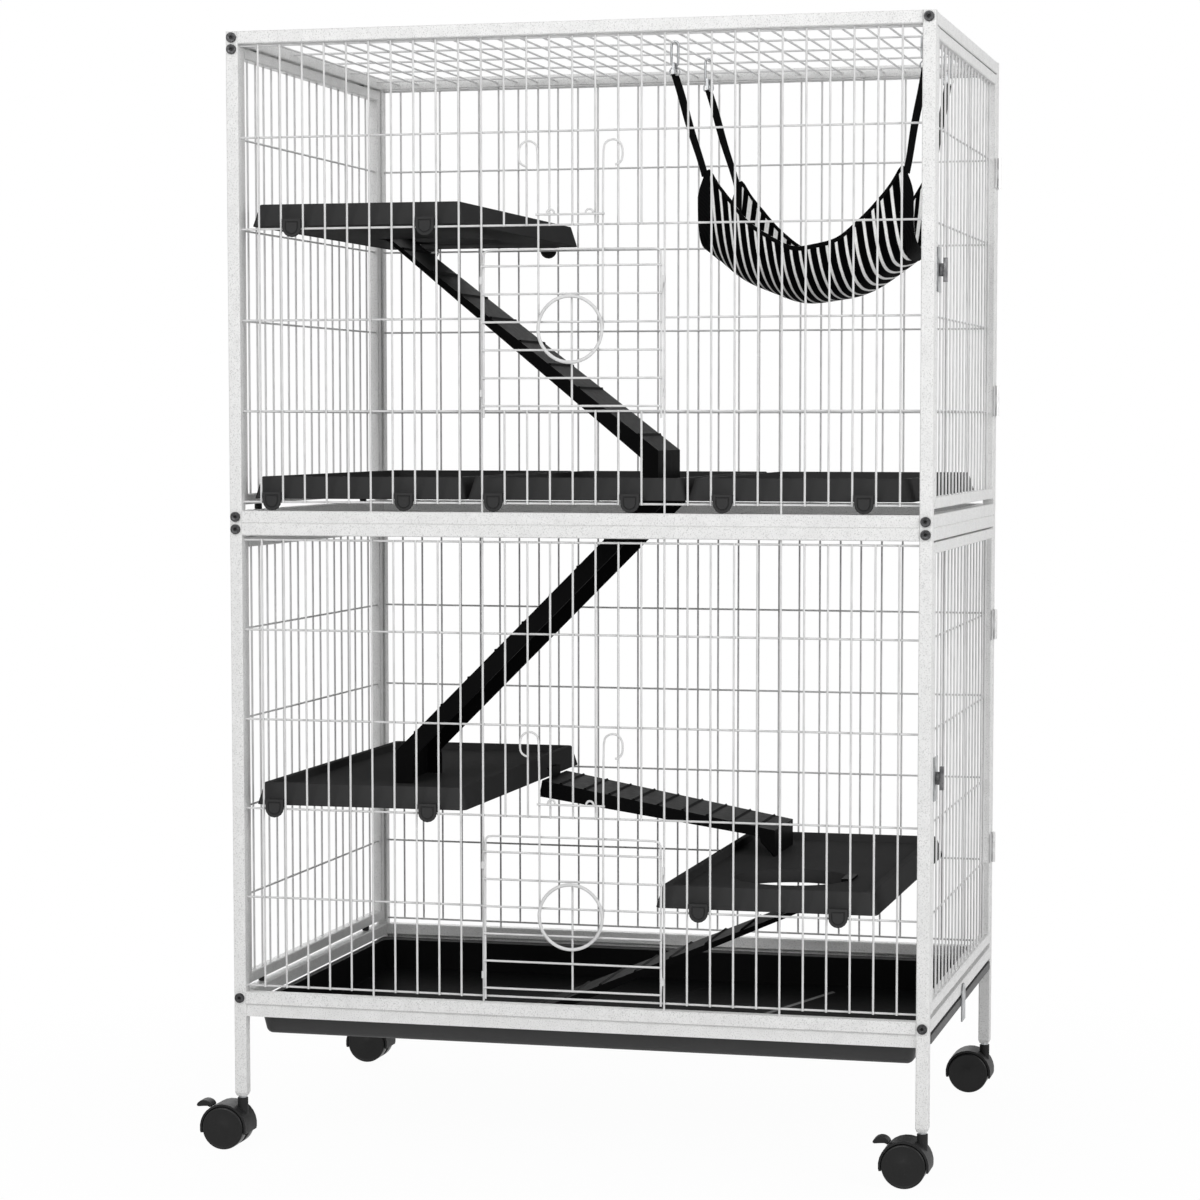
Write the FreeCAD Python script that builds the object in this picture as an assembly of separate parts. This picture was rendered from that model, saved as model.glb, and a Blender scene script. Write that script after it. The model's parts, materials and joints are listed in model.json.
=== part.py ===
import FreeCAD, Part
import math
import os

V = FreeCAD.Vector

# Overall sizes in millimetres; X runs from the left posts, Y from the front face, Z from the floor
WIDTH = 800.0
DEPTH = 530.0
STOREY = 550.0
LEG_END = 60.5
LEG = 107.0

# Frame tubes
TUBE = 14.0
TUBE_EDGE = 1.0
FOOT = 11.0
FOOT_H = 4.0
PANEL_TUBE = 12.0
PANEL_SIDE_GAP = 2.0
PANEL_TOP_GAP = 2.0
PANEL_BOTTOM_GAP = 6.5
SPACER = 8.0
SPACER_INSET = 60.0

# Wire mesh; rows are the wires across, columns the upright wires
WIRE = 2.5
WIRE_SIDES = 6
ROUND_SIDES = 28
CORNER_STEPS = 4
BEND_STEP = 30.0
MESH = 26.0
ROWS = 6
ROW_MARGIN = 40.0
LOW_ROW_START = 21.0
HIGH_ROW_START = 24.0
LONG_COLUMNS = (-9, -4, 4, 9)
SIDE_WIRES = 17
ROOF_ROWS = 5
ROOF_FIRST = 83.0
ROOF_LAST = 35.0

# Front lift doors
DOOR_COLUMN = 4
DOOR_INSET = 3.0
DOOR_END = 5.0
DOOR_FIRST_BAR = 8.0
DOOR_BAR_PITCH = 30.7
DOOR_BARS = 6
DOOR_TOP = 179.6
DOOR_BEND = 7.0
SHOE_T = 2.0
SHOE_H = 8.0
SHOE_LOW = 22.0
SHOE_HIGH = 146.0
RUN_GAP = 0.4
RING_Z = 92.0
RING_R = 36.5
RING_WIRE = 4.0
RING_STEPS = 28
BRACE_Z = 217.0
BRACE_OVER = 2.5
LOOP_X = 22.0
LOOP_R = 4.3
CURL_TOP = 299.0
CURL_R = 11.2
CURL_DROP = 8.0
CURL_END_R = 8.6
LOW_DOOR_LIFT = 2.5
HIGH_DOOR_LIFT = -2.5

# Side door hinges and latches
HINGE_H = 36.0
HINGE_OFFSET = 138.0
LEAF = 1.2
LEAF_W = 11.0
BARREL_R = 2.4
BARREL_SIDES = 6
BARREL_OUT = 2.8
PIN_R = 1.25
PIN_FIT = 0.05
KNUCKLE_GAP = 0.3
PIN_HEAD = 1.0
LATCH_W = 24.0
LATCH_H = 48.0
LATCH_T = 1.5
LATCH_INSET = 4.0
SPINDLE_Y = 20.0
SPINDLE_R = 3.2
SPINDLE_FIT = 0.05
HUB_R = 7.0
HUB_T = 3.0
WING_L = 26.0
WING_T = 4.0
WING_H = 4.5
TONGUE_L = 34.0
TONGUE_W = 8.0
TONGUE_T = 2.0
TONGUE_GAP = 0.4

# Bolts
BOLT_HEAD = 10.0
BOLT_HEAD_T = 2.6
BOLT_SHANK = 6.0
BOLT_DEPTH = 10.0
BOLT_SOCKET = 5.0
BOLT_SOCKET_T = 1.4
SECOND_BOLT = 13.0

# Shelves
SHELF_H = 25.0
SHELF_FLARE = 7.0
SHELF_CORNER = 6.0
SHELF_EASE = 2.0
SHELF_SEAT = 3.5
SHELF_END_GAP = 4.5
SHELF_WALL = 2.5
SHELF_RIM = 8.0
SHELF_RECESS = 8.5
SHELF_GAP = 2.0
SHELF_SIDE = 9.0
LOWER_RIGHT_SIDE = 45.0
HOLE_R = 66.0
HOLE_STEPS = 40
HOLE_FRONT = 175.0

# Shelf hooks
HOOK_W = 21.0
HOOK_REACH = 11.0
HOOK_DROP = 9.6
HOOK_T = 3.0
HOOK_CLEAR = 0.6
TAB_STEPS = 8

# Ramps
RAMP_W = 115.0
RAMP_T = 2.5
RAMP_FLANGE = 20.0
RAMP_REST = 0.4
RAMP_HOOK_W = 40.0
RAMP_LIP = 14.0
RAMP_START = 8.0
UPPER_FOOT_X = 28.0
UPPER_FOOT_Z = 36.0
MIDDLE_FOOT_X = 10.0
MIDDLE_FOOT_Z = 38.0
TRAY_FOOT_X = 325.0
TRAY_FOOT_Z = 8.0
LINK_FOOT_X = 53.0
LINK_FOOT_Z = 32.0
LINK_BACK = 137.0
LINK_HEAD = 1.0
SLOT_FIT = 0.1
TREADS = 9
TREAD_H = 2.0
TREAD_W = 5.0
TREAD_MARGIN = 8.0

# Base tray and its runners
TRAY_DROP = 3.0
TRAY_H = 37.5
TRAY_WALL = 2.2
TRAY_LEFT = 10.0
TRAY_SIDE = 16.0
TRAY_LIP = 9.7
TRAY_LIP_W = 2.5
TRAY_BODY_LEFT = 15.0
TRAY_BODY_RIGHT = 15.0
TRAY_BODY_SIDE = 31.0
TRAY_CORNER = 16.0
TRAY_DRAFT = 9.0
TRAY_OVER = 0.4
TRAY_STEP = 26.0
TRAY_STEP_H = 3.0
RIDGE_W = 9.0
RIDGE_H = 1.6
RIDGE_X = (0.30, 0.50, 0.70)
RIDGE_RUN = 60.0
RUNNER_Y = 3.5
RUNNER_H = 14.5
RUNNER_T = 1.5
RUNNER_LEDGE = 30.0
CATCH_W = 26.0
CATCH_T = 1.6
CATCH_DROP = 31.0
CATCH_RISE = 3.0
CATCH_PEAK = 12.0

# Casters
WHEEL_R = 24.5
WHEEL_W = 16.0
WHEEL_GAP = 4.2
WHEEL_EDGE = 3.0
TRAIL = 18.0
AXLE_R = 3.0
AXLE_FIT = 0.06
HOOD_GAP = 0.8
HOOD_T = 2.5
HOOD_HALF = 18.5
HOOD_SKIRT = 6.0
HOOD_TOP = 57.9
HOOD_BOSS_R = 6.0
WEB_HALF = 3.7
WEB_R = 12.0
SHAFT_SIDES = 16
STEM_R = 4.0
STEM_FIT = 0.06
STEM_LOW = 47.5
COLLAR = 9.0
COLLAR_LOW = 58.3
STUB = 8.0
STUB_H = 25.0
BRAKE_HALF = 8.0
BRAKE_FOOT = ((-17.5, 23.6), (-17.6, 22.6), (-18.2, 21.8), (-19.15, 21.35), (-20.2, 21.4), (-21.0, 22.0))
BRAKE_UNDER = ((-22.6, 22.6), (-25.3, 22.5), (-29.0, 22.2), (-33.4, 21.7), (-35.2, 22.1), (-35.8, 23.6))
BRAKE_BACK = ((-34.6, 25.8), (-31.8, 28.2), (-28.0, 29.4), (-24.2, 29.2), (-20.9, 27.8), (-18.6, 25.8))

# Hammock
HOOK_COLUMN = 3
CLOTH_LEFT = 30.0
CLOTH_RIGHT = 26.0
CLOTH_FORWARD = 10.0
CLOTH_HALF = 89.0
CLOTH_DROP = 151.0
CLOTH_T = 3.0
CLOTH_SECTIONS = 11
CLOTH_STEPS = 12
RIM_SAG = 91.0
END_SAG = 87.0
MID_SAG = 56.0
END_FULL = 4.0
MID_FULL = 2.2
MID_SPREAD = 5.0
SNAP_W = 10.0
SNAP_H = 30.0
SNAP_WIRE = 2.0
SNAP_SEAT = 0.45
LINK_W = 16.0
LINK_H = 12.0
STRAP_W = 10.0
STRAP_T = 1.6
STRAP_GAP = 0.5

BASE_LOW = LEG_END + LEG
BASE_HIGH = BASE_LOW + STOREY
TOP = BASE_HIGH + STOREY
TRAY_TOP = BASE_LOW - TRAY_DROP
TRAY_BOTTOM = TRAY_TOP - TRAY_H
CATCH_LOW = BASE_LOW - CATCH_DROP
CATCH_HIGH = BASE_LOW + CATCH_RISE
CATCH_TIP = BASE_LOW + CATCH_PEAK
MIDDLE = WIDTH / 2
COLUMN_D = TUBE / 2 - WIRE / 2
ROW_D = TUBE / 2 + WIRE / 2
COLUMNS = int((WIDTH / 2 - TUBE) / MESH - 0.1)
SHAFT_IN = math.cos(math.pi / SHAFT_SIDES)
ROW_PITCH = (STOREY - ROW_MARGIN) / (ROWS - 1)
ROOF_PITCH = (DEPTH - ROOF_FIRST - ROOF_LAST) / (ROOF_ROWS - 1)
SHELF_W = (WIDTH - 2 * TUBE - 2 * SHELF_SIDE - 2 * SHELF_GAP) / 3
HOLE_REAR = DEPTH - HOLE_FRONT
LINK_Y = DEPTH - LINK_BACK
CLOTH_TOP = TOP - CLOTH_DROP
HOOK_COLUMNS = (HOOK_COLUMN, COLUMNS)
HAMMOCK_X = (MIDDLE + HOOK_COLUMN * MESH + CLOTH_LEFT, MIDDLE + COLUMNS * MESH - CLOTH_RIGHT)
HAMMOCK_Y = (DEPTH / 2 - CLOTH_FORWARD - CLOTH_HALF, DEPTH / 2 - CLOTH_FORWARD + CLOTH_HALF)
NODES = {}


# Shapes shared by many pieces

def block(low, high):
    """A box between two corners."""
    return Part.makeBox(high[0] - low[0], high[1] - low[1], high[2] - low[2], V(*low))


def loop(points):
    """A face inside a closed run of points."""
    corners = [V(*p) for p in points]
    return Part.Face(Part.makePolygon(corners + corners[:1]))


def section(centre, axis, flat, across, sides):
    """A regular polygon about a point, with one flat turned to face the way given by flat."""
    side = axis.cross(flat)
    radius = across / 2 / math.cos(math.pi / sides)
    points = []
    for i in range(sides):
        turn = (i + 0.5) * 2 * math.pi / sides
        points.append(centre + flat * (radius * math.cos(turn)) + side * (radius * math.sin(turn)))
    return Part.Face(Part.makePolygon(points + points[:1]))


def rod(start, end, flat, across=WIRE, sides=WIRE_SIDES):
    """A straight wire between two points."""
    run = end.sub(start)
    axis = V(run)
    axis.normalize()
    return section(start, axis, flat, across, sides).extrude(run)


def skin(rings, closed=False):
    """A solid whose sides run between matching rings of points."""
    faces = []
    count = len(rings[0])
    spans = len(rings) if closed else len(rings) - 1
    for k in range(spans):
        near = rings[k]
        far = rings[(k + 1) % len(rings)]
        for i in range(count):
            j = (i + 1) % count
            faces.append(Part.Face(Part.makePolygon([near[i], near[j], far[j], far[i], near[i]])))
    if not closed:
        for ring in (rings[0], rings[-1]):
            faces.append(Part.Face(Part.makePolygon(ring + ring[:1])))
    shell = Part.makeShell(faces)
    shell.sewShape()
    return Part.makeSolid(shell)


def bent(path, flat, across=WIRE, sides=WIRE_SIDES, closed=False):
    """A wire that follows a path of points in a plane that faces the way given by flat."""
    radius = across / 2 / math.cos(math.pi / sides)
    rings = []
    last = len(path) - 1
    for k, point in enumerate(path):
        back = path[k - 1] if k > 0 or closed else None
        ahead = path[(k + 1) % len(path)] if k < last or closed else None
        ways = []
        if back is not None:
            ways.append(point.sub(back).normalize())
        if ahead is not None:
            ways.append(ahead.sub(point).normalize())
        axis = (ways[0] + ways[-1]).normalize()
        stretch = 1.0 / axis.dot(ways[0])
        side = axis.cross(flat) * stretch
        ring = []
        for i in range(sides):
            turn = (i + 0.5) * 2 * math.pi / sides
            ring.append(point + flat * (radius * math.cos(turn)) + side * (radius * math.sin(turn)))
        rings.append(ring)
    return skin(rings, closed)


def arc(pivot, radius, start, end, steps):
    """Points on an arc in the XZ plane, the angles in degrees from +X toward +Z."""
    points = []
    for k in range(steps + 1):
        turn = math.radians(start + (end - start) * k / steps)
        points.append(pivot + V(radius * math.cos(turn), 0, radius * math.sin(turn)))
    return points


def tube_plan(size, edge=TUBE_EDGE):
    """The corners of a square tube with softened edges, about its middle."""
    half = size / 2
    near = half - edge
    plan = ((half, -near), (half, near), (near, half), (-near, half))
    return plan + ((-half, near), (-half, -near), (-near, -half), (near, -half))


def bar(start, end, size):
    """A square tube with softened edges between the middles of its two ends."""
    run = end.sub(start)
    axis = V(run)
    axis.normalize()
    up = V(0, 0, 1) if abs(axis.z) < 0.5 else V(0, 1, 0)
    side = axis.cross(up)
    points = [start + side * a + up * b for a, b in tube_plan(size)]
    return Part.Face(Part.makePolygon(points + points[:1])).extrude(run)


def rounded(x0, y0, x1, y1, z, radius):
    """The points of a level rectangle with rounded corners."""
    corners = ((x1 - radius, y1 - radius), (x0 + radius, y1 - radius))
    corners += ((x0 + radius, y0 + radius), (x1 - radius, y0 + radius))
    points = []
    for i, (cx, cy) in enumerate(corners):
        for step in range(CORNER_STEPS + 1):
            turn = math.radians(90.0 * (i + step / CORNER_STEPS))
            points.append(V(cx + radius * math.cos(turn), cy + radius * math.sin(turn), z))
    return points


def upright(points, height):
    """A level run of points carried straight up."""
    return skin([points, [p + V(0, 0, height) for p in points]])


def round_bar(start, end, radius, steps=ROUND_SIDES):
    """A round bar, or the space for one, drawn with flat sides."""
    return rod(start, end, V(1, 0, 0), 2 * radius, steps)


def joined(shapes):
    """Several touching shapes as one solid."""
    return shapes[0].multiFuse(shapes[1:]).removeSplitter()


def keep(name, solids):
    """Records the solids of one named piece."""
    NODES[name] = solids


def column_x(column):
    """The place of an upright wire, counted from the middle one."""
    return MIDDLE + column * MESH


def rows_of(base):
    """The heights of the wires across a storey."""
    start = LOW_ROW_START if base == BASE_LOW else HIGH_ROW_START
    return [base + start + k * ROW_PITCH for k in range(ROWS)]


# Frame of posts and rails

def post_places():
    """The middles of the four posts, the left front first."""
    half = TUBE / 2
    return [(half, half), (WIDTH - half, half), (half, DEPTH - half), (WIDTH - half, DEPTH - half)]


def bolt_places():
    """Each bolt's place on a post: across, front or rear, and height."""
    half = TUBE / 2
    heights = (BASE_LOW + half, BASE_HIGH - half, BASE_HIGH + half, TOP - half)
    places = []
    for x in (half, WIDTH - half):
        for face in (0, 1):
            for z in heights:
                places.append((x, face, z))
    places.append((half, 0, TOP - half - SECOND_BOLT))
    return places


def bolt_shank(place, length, across):
    """The shank of a bolt, from the post's face inward."""
    x, face, z = place
    y = DEPTH * face
    inward = 1 - 2 * face
    return rod(V(x, y, z), V(x, y + inward * length, z), V(1, 0, 0), across, 6)


def posts():
    """Posts of both storeys, with blind holes for the bolts and the caster stems."""
    low = []
    high = []
    for x, y in post_places():
        knee = LEG_END + FOOT_H
        leg = bar(V(x, y, knee), V(x, y, BASE_HIGH), TUBE)
        wide = [V(x + a, y + b, knee) for a, b in tube_plan(TUBE)]
        narrow = [V(x + a, y + b, LEG_END) for a, b in tube_plan(FOOT)]
        leg = joined([leg, skin([wide, narrow])])
        hole = rod(V(x, y, LEG_END), V(x, y, LEG_END + STUB_H), V(1, 0, 0), STUB, 6)
        low.append(leg.cut(hole))
        high.append(bar(V(x, y, BASE_HIGH), V(x, y, TOP), TUBE))
    for place in bolt_places():
        hole = bolt_shank(place, BOLT_DEPTH, BOLT_SHANK)
        index = (1 if place[0] > MIDDLE else 0) + 2 * place[1]
        if place[2] < BASE_HIGH:
            low[index] = low[index].cut(hole)
        else:
            high[index] = high[index].cut(hole)
    keep("lower_posts", low)
    keep("upper_posts", high)


def rails():
    """Four rails round the bottom and four round the top of each storey."""
    half = TUBE / 2
    for name, base in (("lower_rails", BASE_LOW), ("upper_rails", BASE_HIGH)):
        solids = []
        for z in (base + half, base + STOREY - half):
            for y in (half, DEPTH - half):
                solids.append(bar(V(TUBE, y, z), V(WIDTH - TUBE, y, z), TUBE))
            for x in (half, WIDTH - half):
                solids.append(bar(V(x, TUBE, z), V(x, DEPTH - TUBE, z), TUBE))
        keep(name, solids)


def bolts():
    """Socket head bolts through the posts."""
    solids = []
    for place in bolt_places():
        x, face, z = place
        y = DEPTH * face
        out = 2 * face - 1
        head = rod(V(x, y, z), V(x, y + out * BOLT_HEAD_T, z), V(1, 0, 0), BOLT_HEAD, 10)
        rim = V(x, y + out * BOLT_HEAD_T, z)
        floor = V(x, y + out * (BOLT_HEAD_T - BOLT_SOCKET_T), z)
        head = head.cut(rod(rim, floor, V(1, 0, 0), BOLT_SOCKET, 6))
        solids.append(joined([head, bolt_shank(place, BOLT_DEPTH, BOLT_SHANK)]))
    keep("frame_bolts", solids)


# Wire grilles

def wall(name, face, base, opening=None):
    """Upright wires outside and wires across inside, with a door opening between two rows."""
    flat = V(0, 1, 0)
    rows = rows_of(base)
    low = base + TUBE
    high = base + STOREY - TUBE
    half = WIRE / 2
    column_y = COLUMN_D if face == 0 else DEPTH - COLUMN_D
    row_y = ROW_D if face == 0 else DEPTH - ROW_D
    solids = []
    for column in range(-COLUMNS, COLUMNS + 1):
        x = column_x(column)
        spans = [(rows[0] - half, rows[-1] + half)]
        if column in LONG_COLUMNS:
            spans = [(low, high)]
        elif opening and abs(column) < DOOR_COLUMN:
            spans = [(rows[opening[1]] - half, rows[-1] + half)]
            if opening[0]:
                spans.append((rows[0] - half, rows[opening[0]] + half))
        for start, end in spans:
            solids.append(rod(V(x, column_y, start), V(x, column_y, end), flat))
    for k, z in enumerate(rows):
        spans = [(TUBE, WIDTH - TUBE)]
        if opening and opening[0] < k < opening[1]:
            reach = column_x(-DOOR_COLUMN) + half
            spans = [(TUBE, reach), (WIDTH - reach, WIDTH - TUBE)]
        for start, end in spans:
            solids.append(rod(V(start, row_y, z), V(end, row_y, z), flat))
    keep(name, solids)


def roof():
    """Wires along the depth with a few across on top of them."""
    flat = V(0, 0, 1)
    low = TOP - TUBE / 2 - WIRE / 2
    high = TOP - TUBE / 2 + WIRE / 2
    solids = []
    for column in range(-COLUMNS, COLUMNS + 1):
        x = column_x(column)
        solids.append(rod(V(x, TUBE, low), V(x, DEPTH - TUBE, low), flat))
    for k in range(ROOF_ROWS):
        y = ROOF_FIRST + k * ROOF_PITCH
        solids.append(rod(V(TUBE, y, high), V(WIDTH - TUBE, y, high), flat))
    keep("roof_grille", solids)


# Side panels and side doors

def panel_box(base):
    """The near and far edges and the bottom and top of a side panel."""
    near = TUBE + PANEL_SIDE_GAP
    return near, DEPTH - near, base + TUBE + PANEL_BOTTOM_GAP, base + STOREY - TUBE - PANEL_TOP_GAP


def side_panel(frame_name, wire_name, base, outer, inward):
    """A tube frame with wires, its outer face at a given X."""
    y0, y1, z0, z1 = panel_box(base)
    half = PANEL_TUBE / 2
    x = outer + inward * half
    frame = []
    for y in (y0 + half, y1 - half):
        frame.append(bar(V(x, y, z0), V(x, y, z1), PANEL_TUBE))
    for z in (z0 + half, z1 - half):
        frame.append(bar(V(x, y0 + PANEL_TUBE, z), V(x, y1 - PANEL_TUBE, z), PANEL_TUBE))
    keep(frame_name, frame)
    flat = V(1, 0, 0)
    inner = y1 - y0 - 2 * PANEL_TUBE
    pitch = inner / (SIDE_WIRES + 1)
    column_x_at = x - inward * WIRE / 2
    row_x_at = x + inward * WIRE / 2
    low = z0 + PANEL_TUBE
    high = z1 - PANEL_TUBE
    wires = []
    for i in range(SIDE_WIRES):
        y = y0 + PANEL_TUBE + (i + 1) * pitch
        wires.append(rod(V(column_x_at, y, low), V(column_x_at, y, high), flat))
    rows = rows_of(base)
    for k in range(1, ROWS - 1):
        start = V(row_x_at, y0 + PANEL_TUBE, rows[k])
        end = V(row_x_at, y1 - PANEL_TUBE, rows[k])
        wires.append(rod(start, end, flat))
    keep(wire_name, wires)


def spacers():
    """Small blocks that hold the left panels between their rails."""
    solids = []
    x = PANEL_TUBE / 2
    for base in (BASE_LOW, BASE_HIGH):
        y0, y1, z0, z1 = panel_box(base)
        for y in (y0 + SPACER_INSET, y1 - SPACER_INSET):
            solids.append(rod(V(x, y, base + TUBE), V(x, y, z0), V(1, 0, 0), SPACER, 6))
            solids.append(rod(V(x, y, z1), V(x, y, base + STOREY - TUBE), V(1, 0, 0), SPACER, 6))
    keep("panel_spacers", solids)


def hinge_axis():
    """The upright line that the side doors turn about."""
    return WIDTH + BARREL_OUT, DEPTH - TUBE - PANEL_SIDE_GAP / 2


def door_middle(base):
    """The middle height of a side door."""
    y0, y1, z0, z1 = panel_box(base)
    return (z0 + z1) / 2


def knuckle(z0, z1):
    """One length of hinge barrel with its bore."""
    x, y = hinge_axis()
    outer = rod(V(x, y, z0), V(x, y, z1), V(1, 0, 0), 2 * BARREL_R, BARREL_SIDES)
    bore = rod(V(x, y, z0), V(x, y, z1), V(1, 0, 0), 2 * (PIN_R + PIN_FIT), BARREL_SIDES)
    return outer.cut(bore)


def hinge_leaf(z0, z1, side, lengths):
    """A flat leaf on one side of the barrel, joined to its lengths of barrel."""
    x, y = hinge_axis()
    start = BARREL_R + KNUCKLE_GAP
    far = y + side * (start + LEAF_W)
    near = y + side * start
    shapes = [block((WIDTH, min(near, far), z0), (WIDTH + LEAF, max(near, far), z1))]
    for low, high in lengths:
        tab = block((WIDTH, min(y, near), low), (WIDTH + LEAF, max(y, near), high))
        bore = rod(V(x, y, low), V(x, y, high), V(1, 0, 0), 2 * (PIN_R + PIN_FIT), BARREL_SIDES)
        shapes.append(tab.cut(bore))
        shapes.append(knuckle(low, high))
    return joined(shapes)


def hinges():
    """Two hinges to each side door, the fixed leaves and pins in one piece's list."""
    fixed = []
    x, y = hinge_axis()
    for name, base in (("lower_door_hinges", BASE_LOW), ("upper_door_hinges", BASE_HIGH)):
        moving = []
        for step in (-1, 1):
            middle = door_middle(base) + step * HINGE_OFFSET
            z0 = middle - HINGE_H / 2
            z1 = middle + HINGE_H / 2
            third = HINGE_H / 3
            ends = [(z0, z0 + third - KNUCKLE_GAP), (z1 - third + KNUCKLE_GAP, z1)]
            fixed.append(hinge_leaf(z0, z1, 1, ends))
            moving.append(hinge_leaf(z0, z1, -1, [(z0 + third, z1 - third)]))
            across = 2 * PIN_R * math.cos(math.pi / BARREL_SIDES)
            pin = rod(V(x, y, z0), V(x, y, z1), V(1, 0, 0), across, BARREL_SIDES)
            head = rod(V(x, y, z1), V(x, y, z1 + PIN_HEAD), V(1, 0, 0), 2 * BARREL_R, BARREL_SIDES)
            fixed.append(joined([pin, head]))
        keep(name, moving)
    keep("hinge_post_leaves", fixed)


def latch(plate_name, knob_name, base):
    """A plate on the door's front stile and a turning knob with its tongue inside the door."""
    y0 = panel_box(base)[0]
    middle = door_middle(base)
    spindle_y = y0 + SPINDLE_Y
    flat = V(0, 1, 0)
    low = (WIDTH, y0 + LATCH_INSET, middle - LATCH_H / 2)
    high = (WIDTH + LATCH_T, y0 + LATCH_INSET + LATCH_W, middle + LATCH_H / 2)
    outer = WIDTH + LATCH_T
    bore = 2 * (SPINDLE_R + SPINDLE_FIT)
    hole = rod(V(WIDTH, spindle_y, middle), V(outer, spindle_y, middle), flat, bore, 12)
    keep(plate_name, [block(low, high).cut(hole)])
    inner = WIDTH - TUBE - TONGUE_GAP
    start = outer + RUN_GAP
    across = 2 * SPINDLE_R * math.cos(math.pi / 12)
    spindle = rod(V(inner, spindle_y, middle), V(start, spindle_y, middle), flat, across, 12)
    hub = rod(V(start, spindle_y, middle), V(start + HUB_T, spindle_y, middle), flat, 2 * HUB_R, 12)
    wing = block((start + HUB_T, spindle_y - WING_T / 2, middle - WING_L / 2),
                 (start + HUB_T + WING_H, spindle_y + WING_T / 2, middle + WING_L / 2))
    tongue = block((inner - TONGUE_T, spindle_y - TONGUE_W / 2, middle - TONGUE_W / 2),
                   (inner, spindle_y + TONGUE_W / 2, middle - TONGUE_W / 2 + TONGUE_L))
    keep(knob_name, [spindle, hub, wing, tongue])


# Front lift doors

def lift_door(name, base, row, lift):
    """A wire door: bent frame with guide shoes, wires across in front and one upright in the middle."""
    zero = rows_of(base)[row] + lift
    flat = V(0, 1, 0)
    frame_y = COLUMN_D - WIRE - RUN_GAP
    bar_y = frame_y - WIRE
    left = column_x(-DOOR_COLUMN) + DOOR_INSET
    right = column_x(DOOR_COLUMN) - DOOR_INSET
    top = zero + DOOR_TOP
    low = zero - DOOR_END
    steps = int(90 / BEND_STEP)
    path = [V(left, frame_y, low)]
    path += arc(V(left + DOOR_BEND, frame_y, top - DOOR_BEND), DOOR_BEND, 180, 90, steps)
    path += arc(V(right - DOOR_BEND, frame_y, top - DOOR_BEND), DOOR_BEND, 90, 0, steps)
    path.append(V(right, frame_y, low))
    frame = [bent(path, flat)]
    back = frame_y + WIRE / 2
    for x, edge in ((left, column_x(-DOOR_COLUMN) - WIRE / 2), (right, column_x(DOOR_COLUMN) + WIRE / 2)):
        for z in (zero + SHOE_LOW, zero + SHOE_HIGH):
            low_corner = (min(x, edge), back - SHOE_T, z - SHOE_H / 2)
            high_corner = (max(x, edge), back, z + SHOE_H / 2)
            frame.append(block(low_corner, high_corner))
    solids = [joined(frame)]
    for k in range(DOOR_BARS):
        z = zero + DOOR_FIRST_BAR + k * DOOR_BAR_PITCH
        solids.append(rod(V(left - WIRE / 2, bar_y, z), V(right + WIRE / 2, bar_y, z), flat))
    first = zero + DOOR_FIRST_BAR - WIRE / 2
    solids.append(rod(V(MIDDLE, frame_y, first), V(MIDDLE, frame_y, zero + RING_Z + RING_R), flat))
    keep(name, solids)


def lift_handle(name, base, row, lift):
    """Two rods that end in open curls, a pull ring at their feet and a cross bar with two loops."""
    zero = rows_of(base)[row] + lift
    flat = V(0, 1, 0)
    rod_y = COLUMN_D - 3 * WIRE - RUN_GAP
    ring_y = rod_y - WIRE / 2 - RING_WIRE / 2
    brace_y = rod_y - WIRE
    top = zero + CURL_TOP - WIRE / 2
    solids = []
    steps = int(90 / BEND_STEP)
    for way in (-1, 1):
        x = MIDDLE + way * RING_R
        turn = top - CURL_R
        outer = x + way * 2 * CURL_R
        side = 90 - 90 * way
        path = [V(x, rod_y, zero + RING_Z)]
        path += arc(V(x + way * CURL_R, rod_y, turn), CURL_R, 180 - side, side, 2 * steps)
        end_pivot = V(outer - way * CURL_END_R, rod_y, turn - CURL_DROP)
        path += arc(end_pivot, CURL_END_R, side, side - way * 90, steps)
        solids.append(bent(path, flat))
    centre = V(MIDDLE, ring_y, zero + RING_Z)
    round_path = arc(centre, RING_R, 0, 360, RING_STEPS)[:-1]
    solids.append(bent(round_path, flat, RING_WIRE, WIRE_SIDES, True))
    reach = RING_R + BRACE_OVER
    level = zero + BRACE_Z
    solids.append(rod(V(MIDDLE - reach, brace_y, level), V(MIDDLE + reach, brace_y, level), flat))
    for way in (-1, 1):
        pivot = V(MIDDLE + way * LOOP_X, brace_y, level + WIRE / 2)
        solids.append(bent(arc(pivot, LOOP_R, 180, 0, 2 * steps), flat))
    keep(name, solids)


# Shelves and their hooks

def shelf_bottom(base, row):
    """The height of a shelf's lower edge above the floor."""
    return rows_of(base)[row] + SHELF_SEAT


def shelf_floor(base, row):
    """The height of a shelf's sunken floor."""
    return shelf_bottom(base, row) + SHELF_H - SHELF_RECESS


def shelf_table():
    """Each shelf's name, middle, storey, row, hole and the places of its hooks as parts of its width."""
    side = TUBE + SHELF_SIDE + SHELF_W / 2
    step = SHELF_W + SHELF_GAP
    right = WIDTH - TUBE - LOWER_RIGHT_SIDE - SHELF_W / 2
    return (
        ("upper_left_shelf", side, BASE_HIGH, 3, HOLE_REAR, (-0.288, 0.336)),
        ("middle_left_shelf", MIDDLE - step, BASE_HIGH, 0, None, (-0.392, 0.232)),
        ("middle_centre_shelf", MIDDLE, BASE_HIGH, 0, HOLE_FRONT, (-0.364, 0.26)),
        ("middle_right_shelf", MIDDLE + step, BASE_HIGH, 0, None, (-0.336, 0.288)),
        ("lower_left_shelf", side, BASE_LOW, 2, None, (-0.392, 0.336)),
        ("lower_right_shelf", right, BASE_LOW, 1, HOLE_FRONT, (-0.288, 0.336)),
    )


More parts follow.
